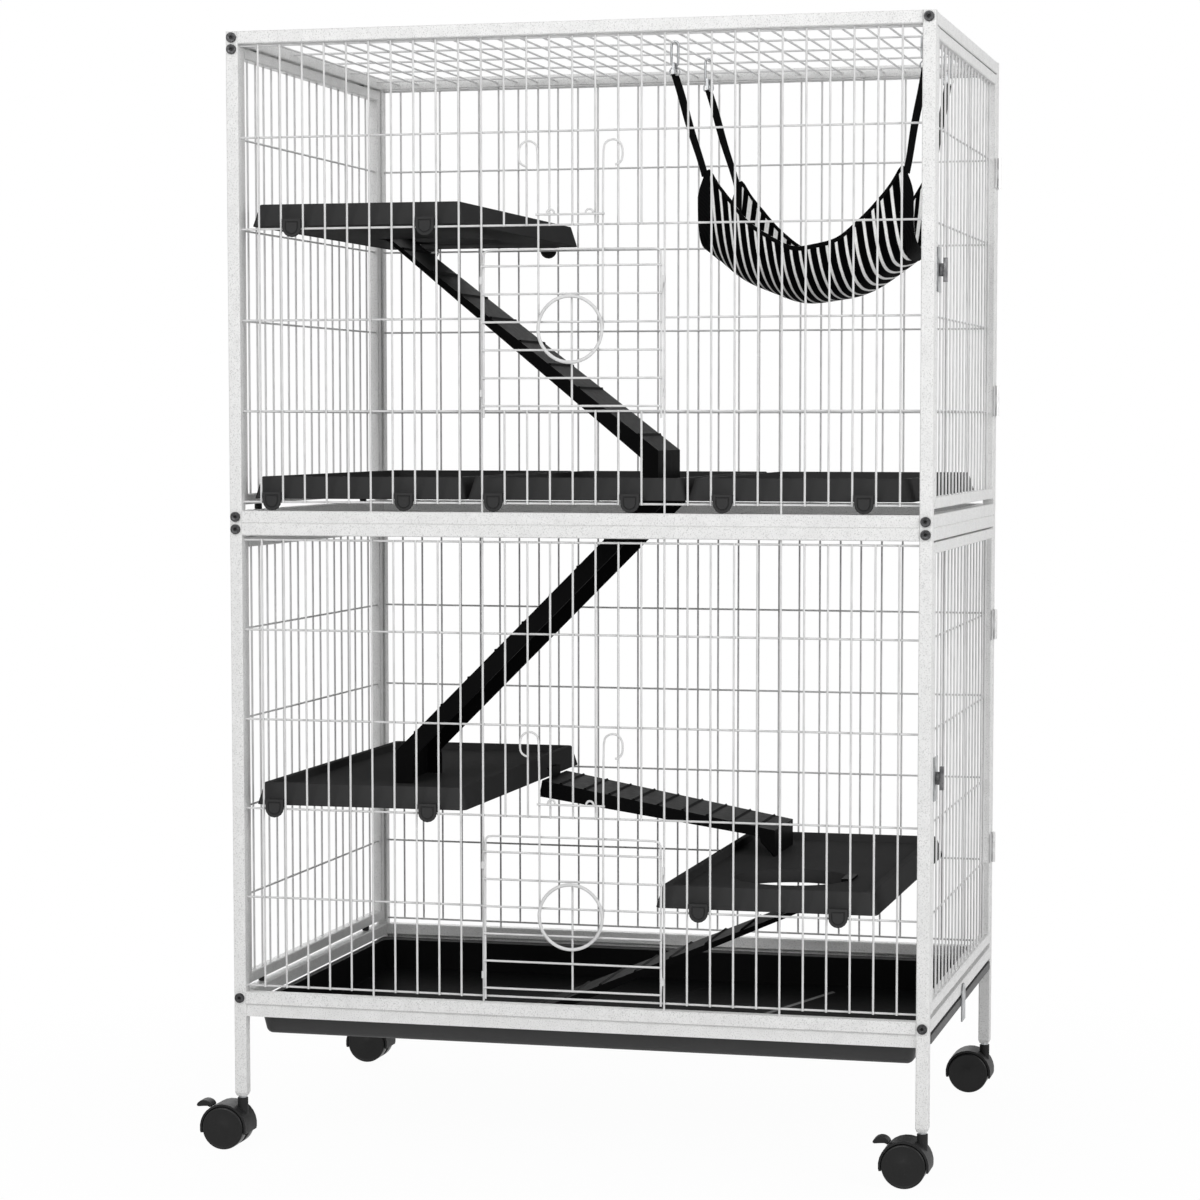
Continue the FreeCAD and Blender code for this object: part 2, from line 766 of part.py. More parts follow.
def shelf(x, base, row, hole):
    """A flared tray shape, hollow below, with a sunken floor and in some a round hole."""
    z0 = shelf_bottom(base, row)
    z1 = z0 + SHELF_H
    floor = z1 - SHELF_RECESS
    half = SHELF_W / 2
    end = ROW_D + WIRE / 2 + SHELF_END_GAP
    y0 = end
    y1 = DEPTH - end
    inset = SHELF_FLARE
    corner = SHELF_CORNER
    outer_low = rounded(x - half, y0, x + half, y1, z0, corner + SHELF_EASE)
    outer_high = rounded(x - half + inset, y0 + inset, x + half - inset, y1 - inset, z1, corner)
    solid = skin([outer_low, outer_high])
    rim = inset + SHELF_RIM
    foot = rim + SHELF_EASE
    inner_corner = corner - SHELF_RIM / 2
    cut_low = rounded(x - half + foot, y0 + foot, x + half - foot, y1 - foot, floor, inner_corner)
    cut_high = rounded(x - half + rim, y0 + rim, x + half - rim, y1 - rim, z1, inner_corner)
    solid = solid.cut(skin([cut_low, cut_high]))
    under = floor - SHELF_WALL
    near = SHELF_WALL
    lean = near + inset * (under - z0) / SHELF_H
    void_low = rounded(x - half + near, y0 + near, x + half - near, y1 - near, z0, corner)
    void_high = rounded(x - half + lean, y0 + lean, x + half - lean, y1 - lean, under, corner - SHELF_EASE)
    solid = solid.cut(skin([void_low, void_high]))
    if hole is not None:
        solid = solid.cut(round_bar(V(x, hole, z0), V(x, hole, z1), HOLE_R, HOLE_STEPS))
    return solid


def nearest_gap(x):
    """The middle of the space between two upright wires that is nearest to a place."""
    return column_x(math.floor((x - MIDDLE) / MESH) + 0.5)


def shelf_hook(x, z_wire, z0, face):
    """A hook from the shelf's skirt over a wire, ending outside it in a tab with a round lower end."""
    skirt = ROW_D + WIRE / 2 + SHELF_END_GAP
    top = z_wire + HOOK_REACH
    outer = ROW_D - WIRE / 2 - HOOK_CLEAR
    over = z_wire + WIRE / 2 / math.cos(math.pi / WIRE_SIDES)
    lean = SHELF_FLARE * (top - z0) / SHELF_H
    plan = [(skirt, z0), (skirt + lean, top), (outer, top), (outer, over), (skirt - 2 * HOOK_CLEAR, over)]
    half = HOOK_W / 2
    points = [(x - half, y if face == 0 else DEPTH - y, z) for y, z in plan]
    arm = loop(points).extrude(V(HOOK_W, 0, 0))
    near = outer - HOOK_T if face == 0 else DEPTH - outer
    outline = [V(x + half, near, top), V(x - half, near, top)]
    outline += arc(V(x, near, z_wire - HOOK_DROP + half), half, 180, 360, TAB_STEPS)
    tab = Part.Face(Part.makePolygon(outline + outline[:1])).extrude(V(0, HOOK_T, 0))
    return joined([arm, tab])


def link_slot(x, z0):
    """The slot through a shelf's right skirt that the link ramp's hook passes."""
    half = RAMP_HOOK_W / 2 + RUN_GAP
    edge = x + SHELF_W / 2
    low = z0 + RAMP_START - SLOT_FIT
    return block((edge - RAMP_LIP, LINK_Y - half, low), (edge, LINK_Y + half, low + RAMP_T + RUN_GAP))


def shelves():
    """All six shelves, and the hooks that carry them."""
    hooks = []
    for name, x, base, row, hole, places in shelf_table():
        solid = shelf(x, base, row, hole)
        if name == "lower_left_shelf":
            solid = solid.cut(link_slot(x, shelf_bottom(base, row)))
        keep(name, [solid])
        for place in places:
            for face in (0, 1):
                middle = nearest_gap(x + place * SHELF_W)
                hooks.append(shelf_hook(middle, rows_of(base)[row], shelf_bottom(base, row), face))
    keep("shelf_hooks", hooks)


# Ramps

def ramp(name, head, foot, floor, y, hook_to):
    """A channel that slopes from its head to its foot, with treads, an upright toe and a hook."""
    way = 1 if foot[0] > head[0] else -1
    run = math.hypot(foot[0] - head[0], foot[1] - head[1])
    along = ((foot[0] - head[0]) / run, (foot[1] - head[1]) / run)
    down = (along[1] * way, -along[0] * way)
    y0 = y - RAMP_W / 2
    y1 = y + RAMP_W / 2

    def at(distance, depth):
        """A place in the ramp's side view."""
        px = head[0] + along[0] * distance + down[0] * depth
        pz = head[1] + along[1] * distance + down[1] * depth
        return px, pz

    def slab(points, start, end):
        """A side view carried from one Y to another."""
        return loop([(px, start, pz) for px, pz in points]).extrude(V(0, end - start, 0))

    plank = [at(0, 0), at(run, 0), at(run, RAMP_T), at(0, RAMP_T)]
    shapes = [slab(plank, y0, y1)]
    side = [at(0, 0), at(run, 0), at(run, RAMP_FLANGE), at(0, RAMP_FLANGE)]
    toe_x = foot[0]
    back_x = toe_x - way * RAMP_FLANGE
    knee = at(run, RAMP_FLANGE)
    shapes.append(slab(side, y0, y0 + RAMP_T))
    shapes.append(slab(side, y1 - RAMP_T, y1))
    tip = floor + RAMP_REST
    if foot[1] - tip > RAMP_T:
        toe = [foot, (toe_x, tip), (toe_x - way * RAMP_T, tip), (toe_x - way * RAMP_T, foot[1])]
        shapes.append(slab(toe, y0, y1))
        cheek = [foot, (toe_x, tip), (back_x, tip), (back_x, max(knee[1], tip + RAMP_T))]
        cheek.append(at(run - RAMP_FLANGE, 0))
        shapes.append(slab(cheek, y0, y0 + RAMP_T))
        shapes.append(slab(cheek, y1 - RAMP_T, y1))
    pitch = (run - 2 * TREAD_MARGIN) / TREADS
    for i in range(TREADS):
        middle = TREAD_MARGIN + (i + 0.5) * pitch
        ridge = [at(middle - TREAD_W / 2, 0), at(middle, -TREAD_H), at(middle + TREAD_W / 2, 0)]
        shapes.append(slab(ridge, y0 + RAMP_T, y1 - RAMP_T))
    lip_z, stop_x = hook_to
    near = head[0]
    far = near + way * RAMP_T
    lip_x = stop_x - way * RAMP_LIP
    low = at(RAMP_T, RAMP_T)[1]
    lip_top = lip_z + RAMP_T
    hook = [(near, low), (near, lip_z), (lip_x, lip_z), (lip_x, lip_top), (far, lip_top), (far, low)]
    shapes.append(slab(hook, y - RAMP_HOOK_W / 2, y + RAMP_HOOK_W / 2))
    reach = 2 * RAMP_FLANGE
    below = block((toe_x - reach, y0, tip - reach), (toe_x + reach, y1, tip))
    keep(name, [joined(shapes).cut(below)])


def ramps():
    """Four ramps, each from a shelf's hole or edge down to the floor below."""
    table = {row[0]: row for row in shelf_table()}
    chord = math.sqrt(HOLE_R ** 2 - (RAMP_HOOK_W / 2) ** 2) - RUN_GAP

    def place(name):
        """A shelf's middle, hole, lower edge, floor top and middle of depth."""
        row = table[name]
        return row[1], row[4], shelf_bottom(row[2], row[3]), shelf_floor(row[2], row[3])

    x, hole, low, top = place("upper_left_shelf")
    centre_x, centre_hole, centre_low, centre_top = place("middle_centre_shelf")
    left_x, left_hole, left_low, left_top = place("lower_left_shelf")
    right_x, right_hole, right_low, right_top = place("lower_right_shelf")
    tray = TRAY_BOTTOM + TRAY_WALL + RIDGE_H
    over = RUN_GAP
    head = (x - chord, low + RAMP_START)
    foot = (centre_x + UPPER_FOOT_X, centre_top + UPPER_FOOT_Z)
    ramp("upper_ramp", head, foot, centre_top, hole, (top + over, x - HOLE_R))
    head = (centre_x + chord, centre_low + RAMP_START)
    foot = (left_x + MIDDLE_FOOT_X, left_top + MIDDLE_FOOT_Z)
    ramp("middle_ramp", head, foot, left_top, centre_hole, (centre_top + over, centre_x + HOLE_R))
    head = (right_x + chord, right_low + RAMP_START)
    foot = (right_x - TRAY_FOOT_X, tray + TRAY_FOOT_Z)
    ramp("tray_ramp", head, foot, tray, right_hole, (right_top + over, right_x + HOLE_R))
    edge = left_x + SHELF_W / 2
    head = (edge + RUN_GAP, left_low - LINK_HEAD)
    foot = (right_x - LINK_FOOT_X, right_top + LINK_FOOT_Z)
    ramp("link_ramp", head, foot, right_top, LINK_Y, (left_low + RAMP_START, edge))


# Base tray

def runners():
    """Angles below the front and rear rails that the tray's rim slides on."""
    solids = []
    low = BASE_LOW - RUNNER_H
    plan = [(RUNNER_Y, BASE_LOW), (RUNNER_Y, low), (RUNNER_LEDGE, low), (RUNNER_LEDGE, low + RUNNER_T)]
    plan += [(RUNNER_Y + RUNNER_T, low + RUNNER_T), (RUNNER_Y + RUNNER_T, BASE_LOW)]
    for face in (0, 1):
        points = [(TUBE, y if face == 0 else DEPTH - y, z) for y, z in plan]
        solids.append(loop(points).extrude(V(WIDTH - 2 * TUBE, 0, 0)))
    keep("tray_runners", solids)


def tray():
    """A shallow drawn tray: rim with a lip, drafted walls, a stepped border and slanting ridges."""
    right = WIDTH + TRAY_OVER
    y0 = TRAY_SIDE
    y1 = DEPTH - TRAY_SIDE
    rim_low = TRAY_TOP - TRAY_WALL
    corner = TRAY_CORNER / 4
    low = TRAY_TOP - TRAY_LIP
    rim = upright(rounded(TRAY_LEFT, y0, right, y1, low, corner), TRAY_LIP)
    lip = TRAY_LIP_W
    under = rounded(TRAY_LEFT + lip, y0 + lip, right - lip, y1 - lip, low, corner - lip)
    rim = rim.cut(upright(under, TRAY_LIP - TRAY_WALL))
    bx0 = TRAY_BODY_LEFT
    bx1 = WIDTH - TRAY_BODY_RIGHT
    by0 = TRAY_BODY_SIDE
    by1 = DEPTH - TRAY_BODY_SIDE

    def basin(inset, top, bottom):
        """A drafted basin set in by a wall's thickness."""
        lean = inset + TRAY_DRAFT
        high = rounded(bx0 + inset, by0 + inset, bx1 - inset, by1 - inset, top, TRAY_CORNER - inset)
        low = rounded(bx0 + lean, by0 + lean, bx1 - lean, by1 - lean, bottom, TRAY_CORNER - lean)
        return skin([high, low])

    body = basin(0, TRAY_TOP, TRAY_BOTTOM)
    floor = TRAY_BOTTOM + TRAY_WALL
    solid = joined([rim, body]).cut(basin(TRAY_WALL, TRAY_TOP, floor))
    ridges = []
    length = bx1 - bx0
    half = RIDGE_W / 2
    near = by0 + TRAY_STEP * 2
    far = by1 - TRAY_STEP * 2
    for part in RIDGE_X:
        x = bx0 + part * length
        plan = [(x - half - RIDGE_RUN, near, floor), (x + half - RIDGE_RUN, near, floor),
                (x - RIDGE_RUN, near, floor + RIDGE_H)]
        ridges.append(loop(plan).extrude(V(2 * RIDGE_RUN, far - near, 0)))
    keep("base_tray", [joined([solid] + ridges)])
    middle = DEPTH / 2
    half = CATCH_W / 2
    plan = [(right, middle - half, CATCH_LOW), (right, middle + half, CATCH_LOW)]
    plan += [(right, middle + half, CATCH_HIGH), (right, middle + half / 3, CATCH_TIP)]
    plan += [(right, middle - half / 3, CATCH_TIP), (right, middle - half, CATCH_HIGH)]
    keep("tray_catch", [loop(plan).extrude(V(CATCH_T, 0, 0))])


# Casters

def disc(x, y0, y1, z, radius):
    """A round of given radius along Y, measured to its flat sides."""
    return round_bar(V(x, y0, z), V(x, y1, z), radius)


def wheel_ring(x, y, z, radius):
    """The points round a wheel at one place along its axle, with a flat side downward."""
    points = []
    reach = radius / math.cos(math.pi / ROUND_SIDES)
    for i in range(ROUND_SIDES):
        turn = (i + 0.5) * 2 * math.pi / ROUND_SIDES
        points.append(V(x + reach * math.sin(turn), y, z - reach * math.cos(turn)))
    return points


def wheel(x, z, inner, outer):
    """One wheel with its outer edge softened."""
    way = 1 if outer > inner else -1
    rings = [wheel_ring(x, inner, z, WHEEL_R), wheel_ring(x, outer - way * WHEEL_EDGE, z, WHEEL_R)]
    rings.append(wheel_ring(x, outer, z, WHEEL_R - WHEEL_EDGE))
    return skin(rings)


def hood(x, y):
    """A hood over both wheels with a middle web and a round boss for the stem."""
    wx = x - TRAIL
    wz = WHEEL_R
    outer = WHEEL_R + HOOD_GAP + HOOD_T
    inner = WHEEL_R + HOOD_GAP
    skirt = wz - HOOD_SKIRT
    cover = disc(wx, y - HOOD_HALF, y + HOOD_HALF, wz, outer)
    for low, high in ((y - HOOD_HALF, y - WEB_HALF), (y + WEB_HALF, y + HOOD_HALF)):
        cover = cover.cut(disc(wx, low, high, wz, inner))
    cover = cover.cut(block((wx - outer, y - HOOD_HALF, wz - outer), (wx + outer, y + HOOD_HALF, skirt)))
    hub = disc(wx, y - WEB_HALF, y + WEB_HALF, wz, WEB_R)
    boss = round_bar(V(x, y, WHEEL_R), V(x, y, HOOD_TOP), HOOD_BOSS_R)
    for low, high in ((y - HOOD_HALF, y - WEB_HALF), (y + WEB_HALF, y + HOOD_HALF)):
        boss = boss.cut(disc(wx, low, high, wz, inner))
    solid = joined([cover, hub, boss])
    near = V(wx, y - WEB_HALF, wz)
    far = V(wx, y + WEB_HALF, wz)
    solid = solid.cut(round_bar(near, far, AXLE_R + AXLE_FIT, SHAFT_SIDES))
    bore_low = STEM_LOW - RUN_GAP
    bore = round_bar(V(x, y, bore_low), V(x, y, HOOD_TOP), STEM_R + STEM_FIT, SHAFT_SIDES)
    return solid.cut(bore)


def brake(x, y):
    """A foot lever over the rear of a hood: a rounded foot, a neck and a thick curved blade."""
    form = BRAKE_FOOT + BRAKE_UNDER + BRAKE_BACK
    points = [(x - TRAIL + px, y - BRAKE_HALF, WHEEL_R + pz) for px, pz in form]
    return loop(points).extrude(V(0, 2 * BRAKE_HALF, 0))


def casters():
    """Stems in the legs, hoods that swivel on them, twin wheels, and brakes on the front pair."""
    names = ("front_left", "front_right", "rear_left", "rear_right")
    stems = []
    for name, (x, y) in zip(names, post_places()):
        pin = round_bar(V(x, y, STEM_LOW), V(x, y, COLLAR_LOW), STEM_R * SHAFT_IN, SHAFT_SIDES)
        collar = rod(V(x, y, COLLAR_LOW), V(x, y, LEG_END), V(1, 0, 0), COLLAR, 6)
        stub = rod(V(x, y, LEG_END), V(x, y, LEG_END + STUB_H), V(1, 0, 0), STUB, 6)
        stems.append(joined([pin, collar, stub]))
        keep(name + "_hood", [hood(x, y)])
        wx = x - TRAIL
        near = wheel(wx, WHEEL_R, y - WHEEL_GAP, y - WHEEL_GAP - WHEEL_W)
        far = wheel(wx, WHEEL_R, y + WHEEL_GAP, y + WHEEL_GAP + WHEEL_W)
        near_end = V(wx, y - WHEEL_GAP, WHEEL_R)
        far_end = V(wx, y + WHEEL_GAP, WHEEL_R)
        axle = round_bar(near_end, far_end, AXLE_R * SHAFT_IN, SHAFT_SIDES)
        keep(name + "_wheels", [near, far, axle])
        if y < DEPTH / 2:
            keep(name + "_brake", [brake(x, y)])
    keep("caster_stems", stems)


# Hammock

def cloth_arc(x, middle, half, rim, sag, full):
    """Points across the cloth from rim to rim: upright sides that turn into a round bottom."""
    points = []
    for k in range(CLOTH_STEPS + 1):
        turn = math.pi * (k / CLOTH_STEPS - 0.5)
        out = abs(math.sin(turn)) ** (2 / full)
        down = abs(math.cos(turn)) ** (2 / full)
        points.append(V(x, middle + math.copysign(half * out, turn), rim - sag * down))
    return points


def cloth_ring(x, y0, y1, rim, sag, full):
    """The points round one cross section of the cloth, with the cloth's thickness."""
    middle = (y0 + y1) / 2
    half = (y1 - y0) / 2
    outer = cloth_arc(x, middle, half, rim, sag, full)
    inner = cloth_arc(x, middle, half - CLOTH_T, rim, sag - CLOTH_T, full)
    return outer + inner[::-1]


def cloth():
    """A sling that hangs from four corners, its long rims and its ends all sagging."""
    x0, x1 = HAMMOCK_X
    y0, y1 = HAMMOCK_Y
    rings = []
    for i in range(CLOTH_SECTIONS):
        u = 2.0 * i / (CLOTH_SECTIONS - 1) - 1.0
        x = (x0 + x1) / 2 + u * (x1 - x0) / 2
        bow = 1.0 - u * u
        sag = END_SAG + (MID_SAG - END_SAG) * bow
        spread = MID_SPREAD * bow
        full = END_FULL + (MID_FULL - END_FULL) * bow
        rim = CLOTH_TOP - RIM_SAG * bow
        rings.append(cloth_ring(x, y0 - spread, y1 + spread, rim, sag, full))
    faces = []
    count = len(rings[0])
    for near, far in zip(rings, rings[1:]):
        for i in range(count):
            j = (i + 1) % count
            faces.append(Part.Face(Part.makePolygon([near[i], near[j], far[j], near[i]])))
            faces.append(Part.Face(Part.makePolygon([near[i], far[j], far[i], near[i]])))
    for ring in (rings[0], rings[-1]):
        faces.append(Part.Face(Part.makePolygon(ring + ring[:1])))
    shell = Part.makeShell(faces)
    shell.sewShape()
    return Part.makeSolid(shell)


def snap_ring(x, y, top):
    """A long link of wire, standing across the roof wire that it hangs from."""
    r = (SNAP_W - SNAP_WIRE) / 2
    high = top - SNAP_WIRE / 2 - r
    low = top - SNAP_H + SNAP_WIRE / 2 + r
    steps = int(180 / BEND_STEP)
    path = arc(V(x, y, high), r, 0, 180, steps) + arc(V(x, y, low), r, 180, 360, steps)
    return bent(path, V(0, 1, 0), SNAP_WIRE, WIRE_SIDES, True)


def link_ring(centre):
    """A wide low link across the width of a strap."""
    half = LINK_W / 2
    rise = LINK_H / 2
    t = SNAP_WIRE
    x0 = centre.x - t / 2
    x1 = centre.x + t / 2
    outer = block((x0, centre.y - half, centre.z - rise), (x1, centre.y + half, centre.z + rise))
    low = (x0, centre.y - half + t, centre.z - rise + t)
    inner = block(low, (x1, centre.y + half - t, centre.z + rise - t))
    return outer.cut(inner)


def hammock():
    """Cloth, straps, and the links and hooks that hang it from the roof."""
    keep("hammock_cloth", [cloth()])
    hooks = []
    straps = []
    wire_top = TOP - TUBE / 2
    for column, cloth_x in zip(HOOK_COLUMNS, HAMMOCK_X):
        for y in HAMMOCK_Y:
            x = column_x(column)
            snap_top = wire_top + SNAP_WIRE + SNAP_SEAT
            link_top = snap_top - SNAP_H + 2 * SNAP_WIRE + STRAP_GAP / 2
            link = link_ring(V(x, y, link_top - LINK_H / 2))
            hooks.append(snap_ring(x, y, snap_top))
            hooks.append(link)
            start = V(x, y, link_top - LINK_H - STRAP_GAP)
            end = V(cloth_x, y, CLOTH_TOP + STRAP_GAP)
            half = STRAP_T / 2
            plan = [(start.x - half, start.z), (start.x + half, start.z)]
            plan += [(end.x + half, end.z), (end.x - half, end.z)]
            points = [(px, y - STRAP_W / 2, pz) for px, pz in plan]
            straps.append(loop(points).extrude(V(0, STRAP_W, 0)))
    keep("hammock_hooks", hooks)
    keep("hammock_straps", straps)


def build():
    """All the pieces, then each written to its own file about the middle of the floor."""
    posts()
    rails()
    bolts()
    wall("upper_front_grille", 0, BASE_HIGH, (1, 3))
    wall("lower_front_grille", 0, BASE_LOW, (0, 2))
    wall("upper_rear_grille", 1, BASE_HIGH)
    wall("lower_rear_grille", 1, BASE_LOW)
    roof()
    side_panel("upper_left_frame", "upper_left_wires", BASE_HIGH, 0.0, 1)
    side_panel("lower_left_frame", "lower_left_wires", BASE_LOW, 0.0, 1)
    spacers()
    side_panel("upper_door_frame", "upper_door_wires", BASE_HIGH, WIDTH, -1)
    side_panel("lower_door_frame", "lower_door_wires", BASE_LOW, WIDTH, -1)
    hinges()
    latch("upper_latch_plate", "upper_latch_knob", BASE_HIGH)
    latch("lower_latch_plate", "lower_latch_knob", BASE_LOW)
    lift_door("upper_front_door", BASE_HIGH, 1, HIGH_DOOR_LIFT)
    lift_door("lower_front_door", BASE_LOW, 0, LOW_DOOR_LIFT)
    lift_handle("upper_door_handle", BASE_HIGH, 1, HIGH_DOOR_LIFT)
    lift_handle("lower_door_handle", BASE_LOW, 0, LOW_DOOR_LIFT)
    shelves()
    ramps()
    runners()
    tray()
    casters()
    hammock()


build()
WHOLE = FreeCAD.BoundBox()
for pieces in NODES.values():
    for piece in pieces:
        WHOLE.add(piece.BoundBox)
SHIFT = V(-(WHOLE.XMin + WHOLE.XMax) / 2, -(WHOLE.YMin + WHOLE.YMax) / 2, 0)
os.makedirs("parts", exist_ok=True)
for node, pieces in NODES.items():
    shape = Part.makeCompound(pieces) if len(pieces) > 1 else pieces[0]
    shape.translate(SHIFT)
    shape.exportStep("parts/" + node + ".step")
print("shift", SHIFT.x, SHIFT.y, "box", WHOLE.XLength, WHOLE.YLength, WHOLE.ZMin, WHOLE.ZMax)
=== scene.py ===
"""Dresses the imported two-storey small animal cage: finishes, round wires, hammock, casters and bolts.

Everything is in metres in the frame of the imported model: the floor is Z 0, the front faces -Y.
"""

import json
import logging
import math
from dataclasses import dataclass, field
from enum import Enum
from typing import Callable

import bpy
from mathutils import Matrix, Vector

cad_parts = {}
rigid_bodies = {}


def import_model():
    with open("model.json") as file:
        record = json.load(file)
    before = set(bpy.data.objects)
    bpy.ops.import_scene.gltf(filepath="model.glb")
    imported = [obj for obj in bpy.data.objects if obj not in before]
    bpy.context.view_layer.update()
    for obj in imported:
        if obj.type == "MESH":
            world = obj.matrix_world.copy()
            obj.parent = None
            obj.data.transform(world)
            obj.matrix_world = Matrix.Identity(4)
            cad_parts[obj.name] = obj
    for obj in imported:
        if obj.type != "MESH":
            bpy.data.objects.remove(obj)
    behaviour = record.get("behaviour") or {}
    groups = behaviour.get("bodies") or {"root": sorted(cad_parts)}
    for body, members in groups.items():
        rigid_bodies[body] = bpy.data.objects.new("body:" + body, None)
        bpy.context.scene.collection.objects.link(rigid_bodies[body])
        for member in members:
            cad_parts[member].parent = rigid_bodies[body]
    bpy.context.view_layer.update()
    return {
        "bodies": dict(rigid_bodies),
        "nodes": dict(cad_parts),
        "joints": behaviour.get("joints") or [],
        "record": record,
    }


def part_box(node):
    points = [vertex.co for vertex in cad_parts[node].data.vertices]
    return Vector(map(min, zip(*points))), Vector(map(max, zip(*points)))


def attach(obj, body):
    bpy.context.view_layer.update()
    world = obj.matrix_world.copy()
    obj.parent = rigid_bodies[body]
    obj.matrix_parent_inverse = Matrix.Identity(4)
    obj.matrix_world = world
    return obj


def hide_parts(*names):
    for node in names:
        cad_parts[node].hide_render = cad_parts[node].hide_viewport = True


LOG = logging.getLogger("cage")
ROOT = "cage_frame"
SHELVES = (
    "upper_left_shelf", "middle_left_shelf", "middle_centre_shelf",
    "middle_right_shelf", "lower_left_shelf", "lower_right_shelf",
)
# Each shelf with a hole: the ramp that hangs in it, and the side of the hole that it hangs from.
HOLES = {
    "upper_left_shelf": ("upper_ramp", -1.0),
    "middle_centre_shelf": ("middle_ramp", 1.0),
    "lower_right_shelf": ("tray_ramp", 1.0),
}
CORNERS = ("front_left", "front_right", "rear_left", "rear_right")
WHITE = (1.0, 1.0, 1.0, 1.0)
# The range in which most of a noise texture's values lie.
NOISE_LOW, NOISE_HIGH = 0.3, 0.7
# The least part of a face's normal along an axis for the face to look that way.
FACING = 0.9
# Points nearer than this are merged, in a copy of a node and in a finished piece.
COPY_GAP, CLEAN_GAP = 2e-6, 1e-6
# Degrees up to which neighbours count as one flat face, and two triangles as one quad.
FLAT_ANGLE, QUAD_ANGLE = 0.5, 1.0

Triple = tuple[float, float, float]
Colour = Triple
Pair = tuple[float, float]
Piece = bpy.types.Object
Face = bpy.types.MeshPolygon
Edge = bpy.types.MeshEdge
Socket = bpy.types.NodeSocket


# Node trees

class Tree:
    """A node tree, with short ways to add and join nodes."""

    def __init__(self, tree: bpy.types.NodeTree, output: str) -> None:
        """Empties a tree and gives it its output.

        Args:
            tree: The tree.
            output: The output node's kind.
        """
        self.tree = tree
        self.tree.nodes.clear()
        self.output = self.add(output)

    def add(self, kind: str, *inputs: object, **settings: object) -> bpy.types.Node:
        """Adds a node and fills it.

        Args:
            kind: The node's type name without its prefix.
            inputs: What its first inputs get, each a socket or a constant.
            settings: Its properties, and under names with a capital its inputs.

        Returns:
            The new node.
        """
        node = self.tree.nodes.new("ShaderNode" + kind)
        for key, value in settings.items():
            if key[0].isupper():
                self.fill(node, **{key: value})
            else:
                setattr(node, key, value)
        for target, value in zip(node.inputs, inputs):
            self.feed(target, value)
        return node

    def fill(self, node: bpy.types.Node, **values: object) -> None:
        """Fills a node's inputs by name, an underscore standing for a space."""
        for key, value in values.items():
            self.feed(node.inputs[key.replace("_", " ")], value)

    def feed(self, target: Socket, value: object) -> None:
        """Links an input to a socket, or sets its constant."""
        if isinstance(value, Socket):
            self.tree.links.new(value, target)
        else:
            target.default_value = value

    def math(self, operation: str, first: object, second: object = 0.0) -> Socket:
        """A sum on two values, each a socket or a number."""
        return self.add("Math", first, second, operation=operation).outputs["Value"]

    def span(self, value: Socket, low: Pair, high: Pair) -> Socket:
        """Carries a value from one range to another, each end given before and after."""
        return self.add("MapRange", Value=value, From_Min=low[0], To_Min=low[1], From_Max=high[0],
                        To_Max=high[1]).outputs["Result"]


class Recipe(Tree):
    """One material's tree, from Object coordinates to a Principled shader."""

    def __init__(self, name: str) -> None:
        """Starts the material.

        Args:
            name: Its name.
        """
        self.material = bpy.data.materials.new(name)
        self.material.use_nodes = True
        super().__init__(self.material.node_tree, "OutputMaterial")
        self.shader = self.add("BsdfPrincipled")
        self.fill(self.output, Surface=self.shader.outputs["BSDF"])
        self.where = self.place((1.0, 1.0, 1.0))

    def place(self, scale: Triple) -> Socket:
        """Object coordinates, stretched along each axis."""
        start = self.add("TexCoord").outputs["Object"]
        return self.add("Mapping", Vector=start, Scale=scale).outputs["Vector"]

    def noise(self, layer: Pair, where: Socket | None = None) -> Socket:
        """Soft noise about 0.5, from its waves in a metre and its count of finer layers."""
        place = self.where if where is None else where
        return self.add("TexNoise", Vector=place, Scale=layer[0], Detail=layer[1]).outputs["Fac"]

    def uneven(self, noise: Socket, ends: Pair) -> Socket:
        """Carries noise to the range of a roughness."""
        return self.span(noise, (NOISE_LOW, ends[0]), (NOISE_HIGH, ends[1]))

    def blend(self, factor: object, first: object, second: object, blend_type: str = "MIX") -> Socket:
        """Mixes two colours, each a socket or a colour.

        Args:
            factor: How much of the second colour shows.
            first: The first colour.
            second: The second colour.
            blend_type: The way of mixing.

        Returns:
            The mixed colour.
        """
        node = self.add("Mix", factor, data_type="RGBA", blend_type=blend_type)
        for key, value in ((6, first), (7, second)):
            self.feed(node.inputs[key], value if isinstance(value, Socket) else (*value, 1.0))
        return node.outputs[2]

    def clouds(self, layer: Pair, ends: Pair, first: Colour, second: Colour) -> Socket:
        """Two colours in soft clouds, the second one full at the upper end of the noise."""
        return self.blend(self.span(self.noise(layer), (ends[0], 0.0), (ends[1], 1.0)), first, second)

    def relief(self, *layers: tuple[Socket, float, float]) -> Socket:
        """A relief of one or more layers.

        Args:
            layers: A height, its strength and its depth in metres, for each layer.

        Returns:
            The normal.
        """
        below: dict[str, Socket] = {}
        for height, strength, depth in layers:
            node = self.add("Bump", Strength=strength, Distance=depth, Height=height, **below)
            below = {"Normal": node.outputs["Normal"]}
        return below["Normal"]

    def shade(self, **values: object) -> None:
        """Fills the shader's own sockets, an underscore standing for a space."""
        self.fill(self.shader, **values)


# Finishes

class Finish:
    """What all the finishes share."""

    def build(self, name: str) -> bpy.types.Material:
        """Makes the material.

        Args:
            name: The material's name.

        Returns:
            The material.
        """
        recipe = Recipe(name)
        self.mix(recipe)
        return recipe.material

    def mix(self, r: Recipe) -> None:
        """Fills the material's tree."""
        raise NotImplementedError


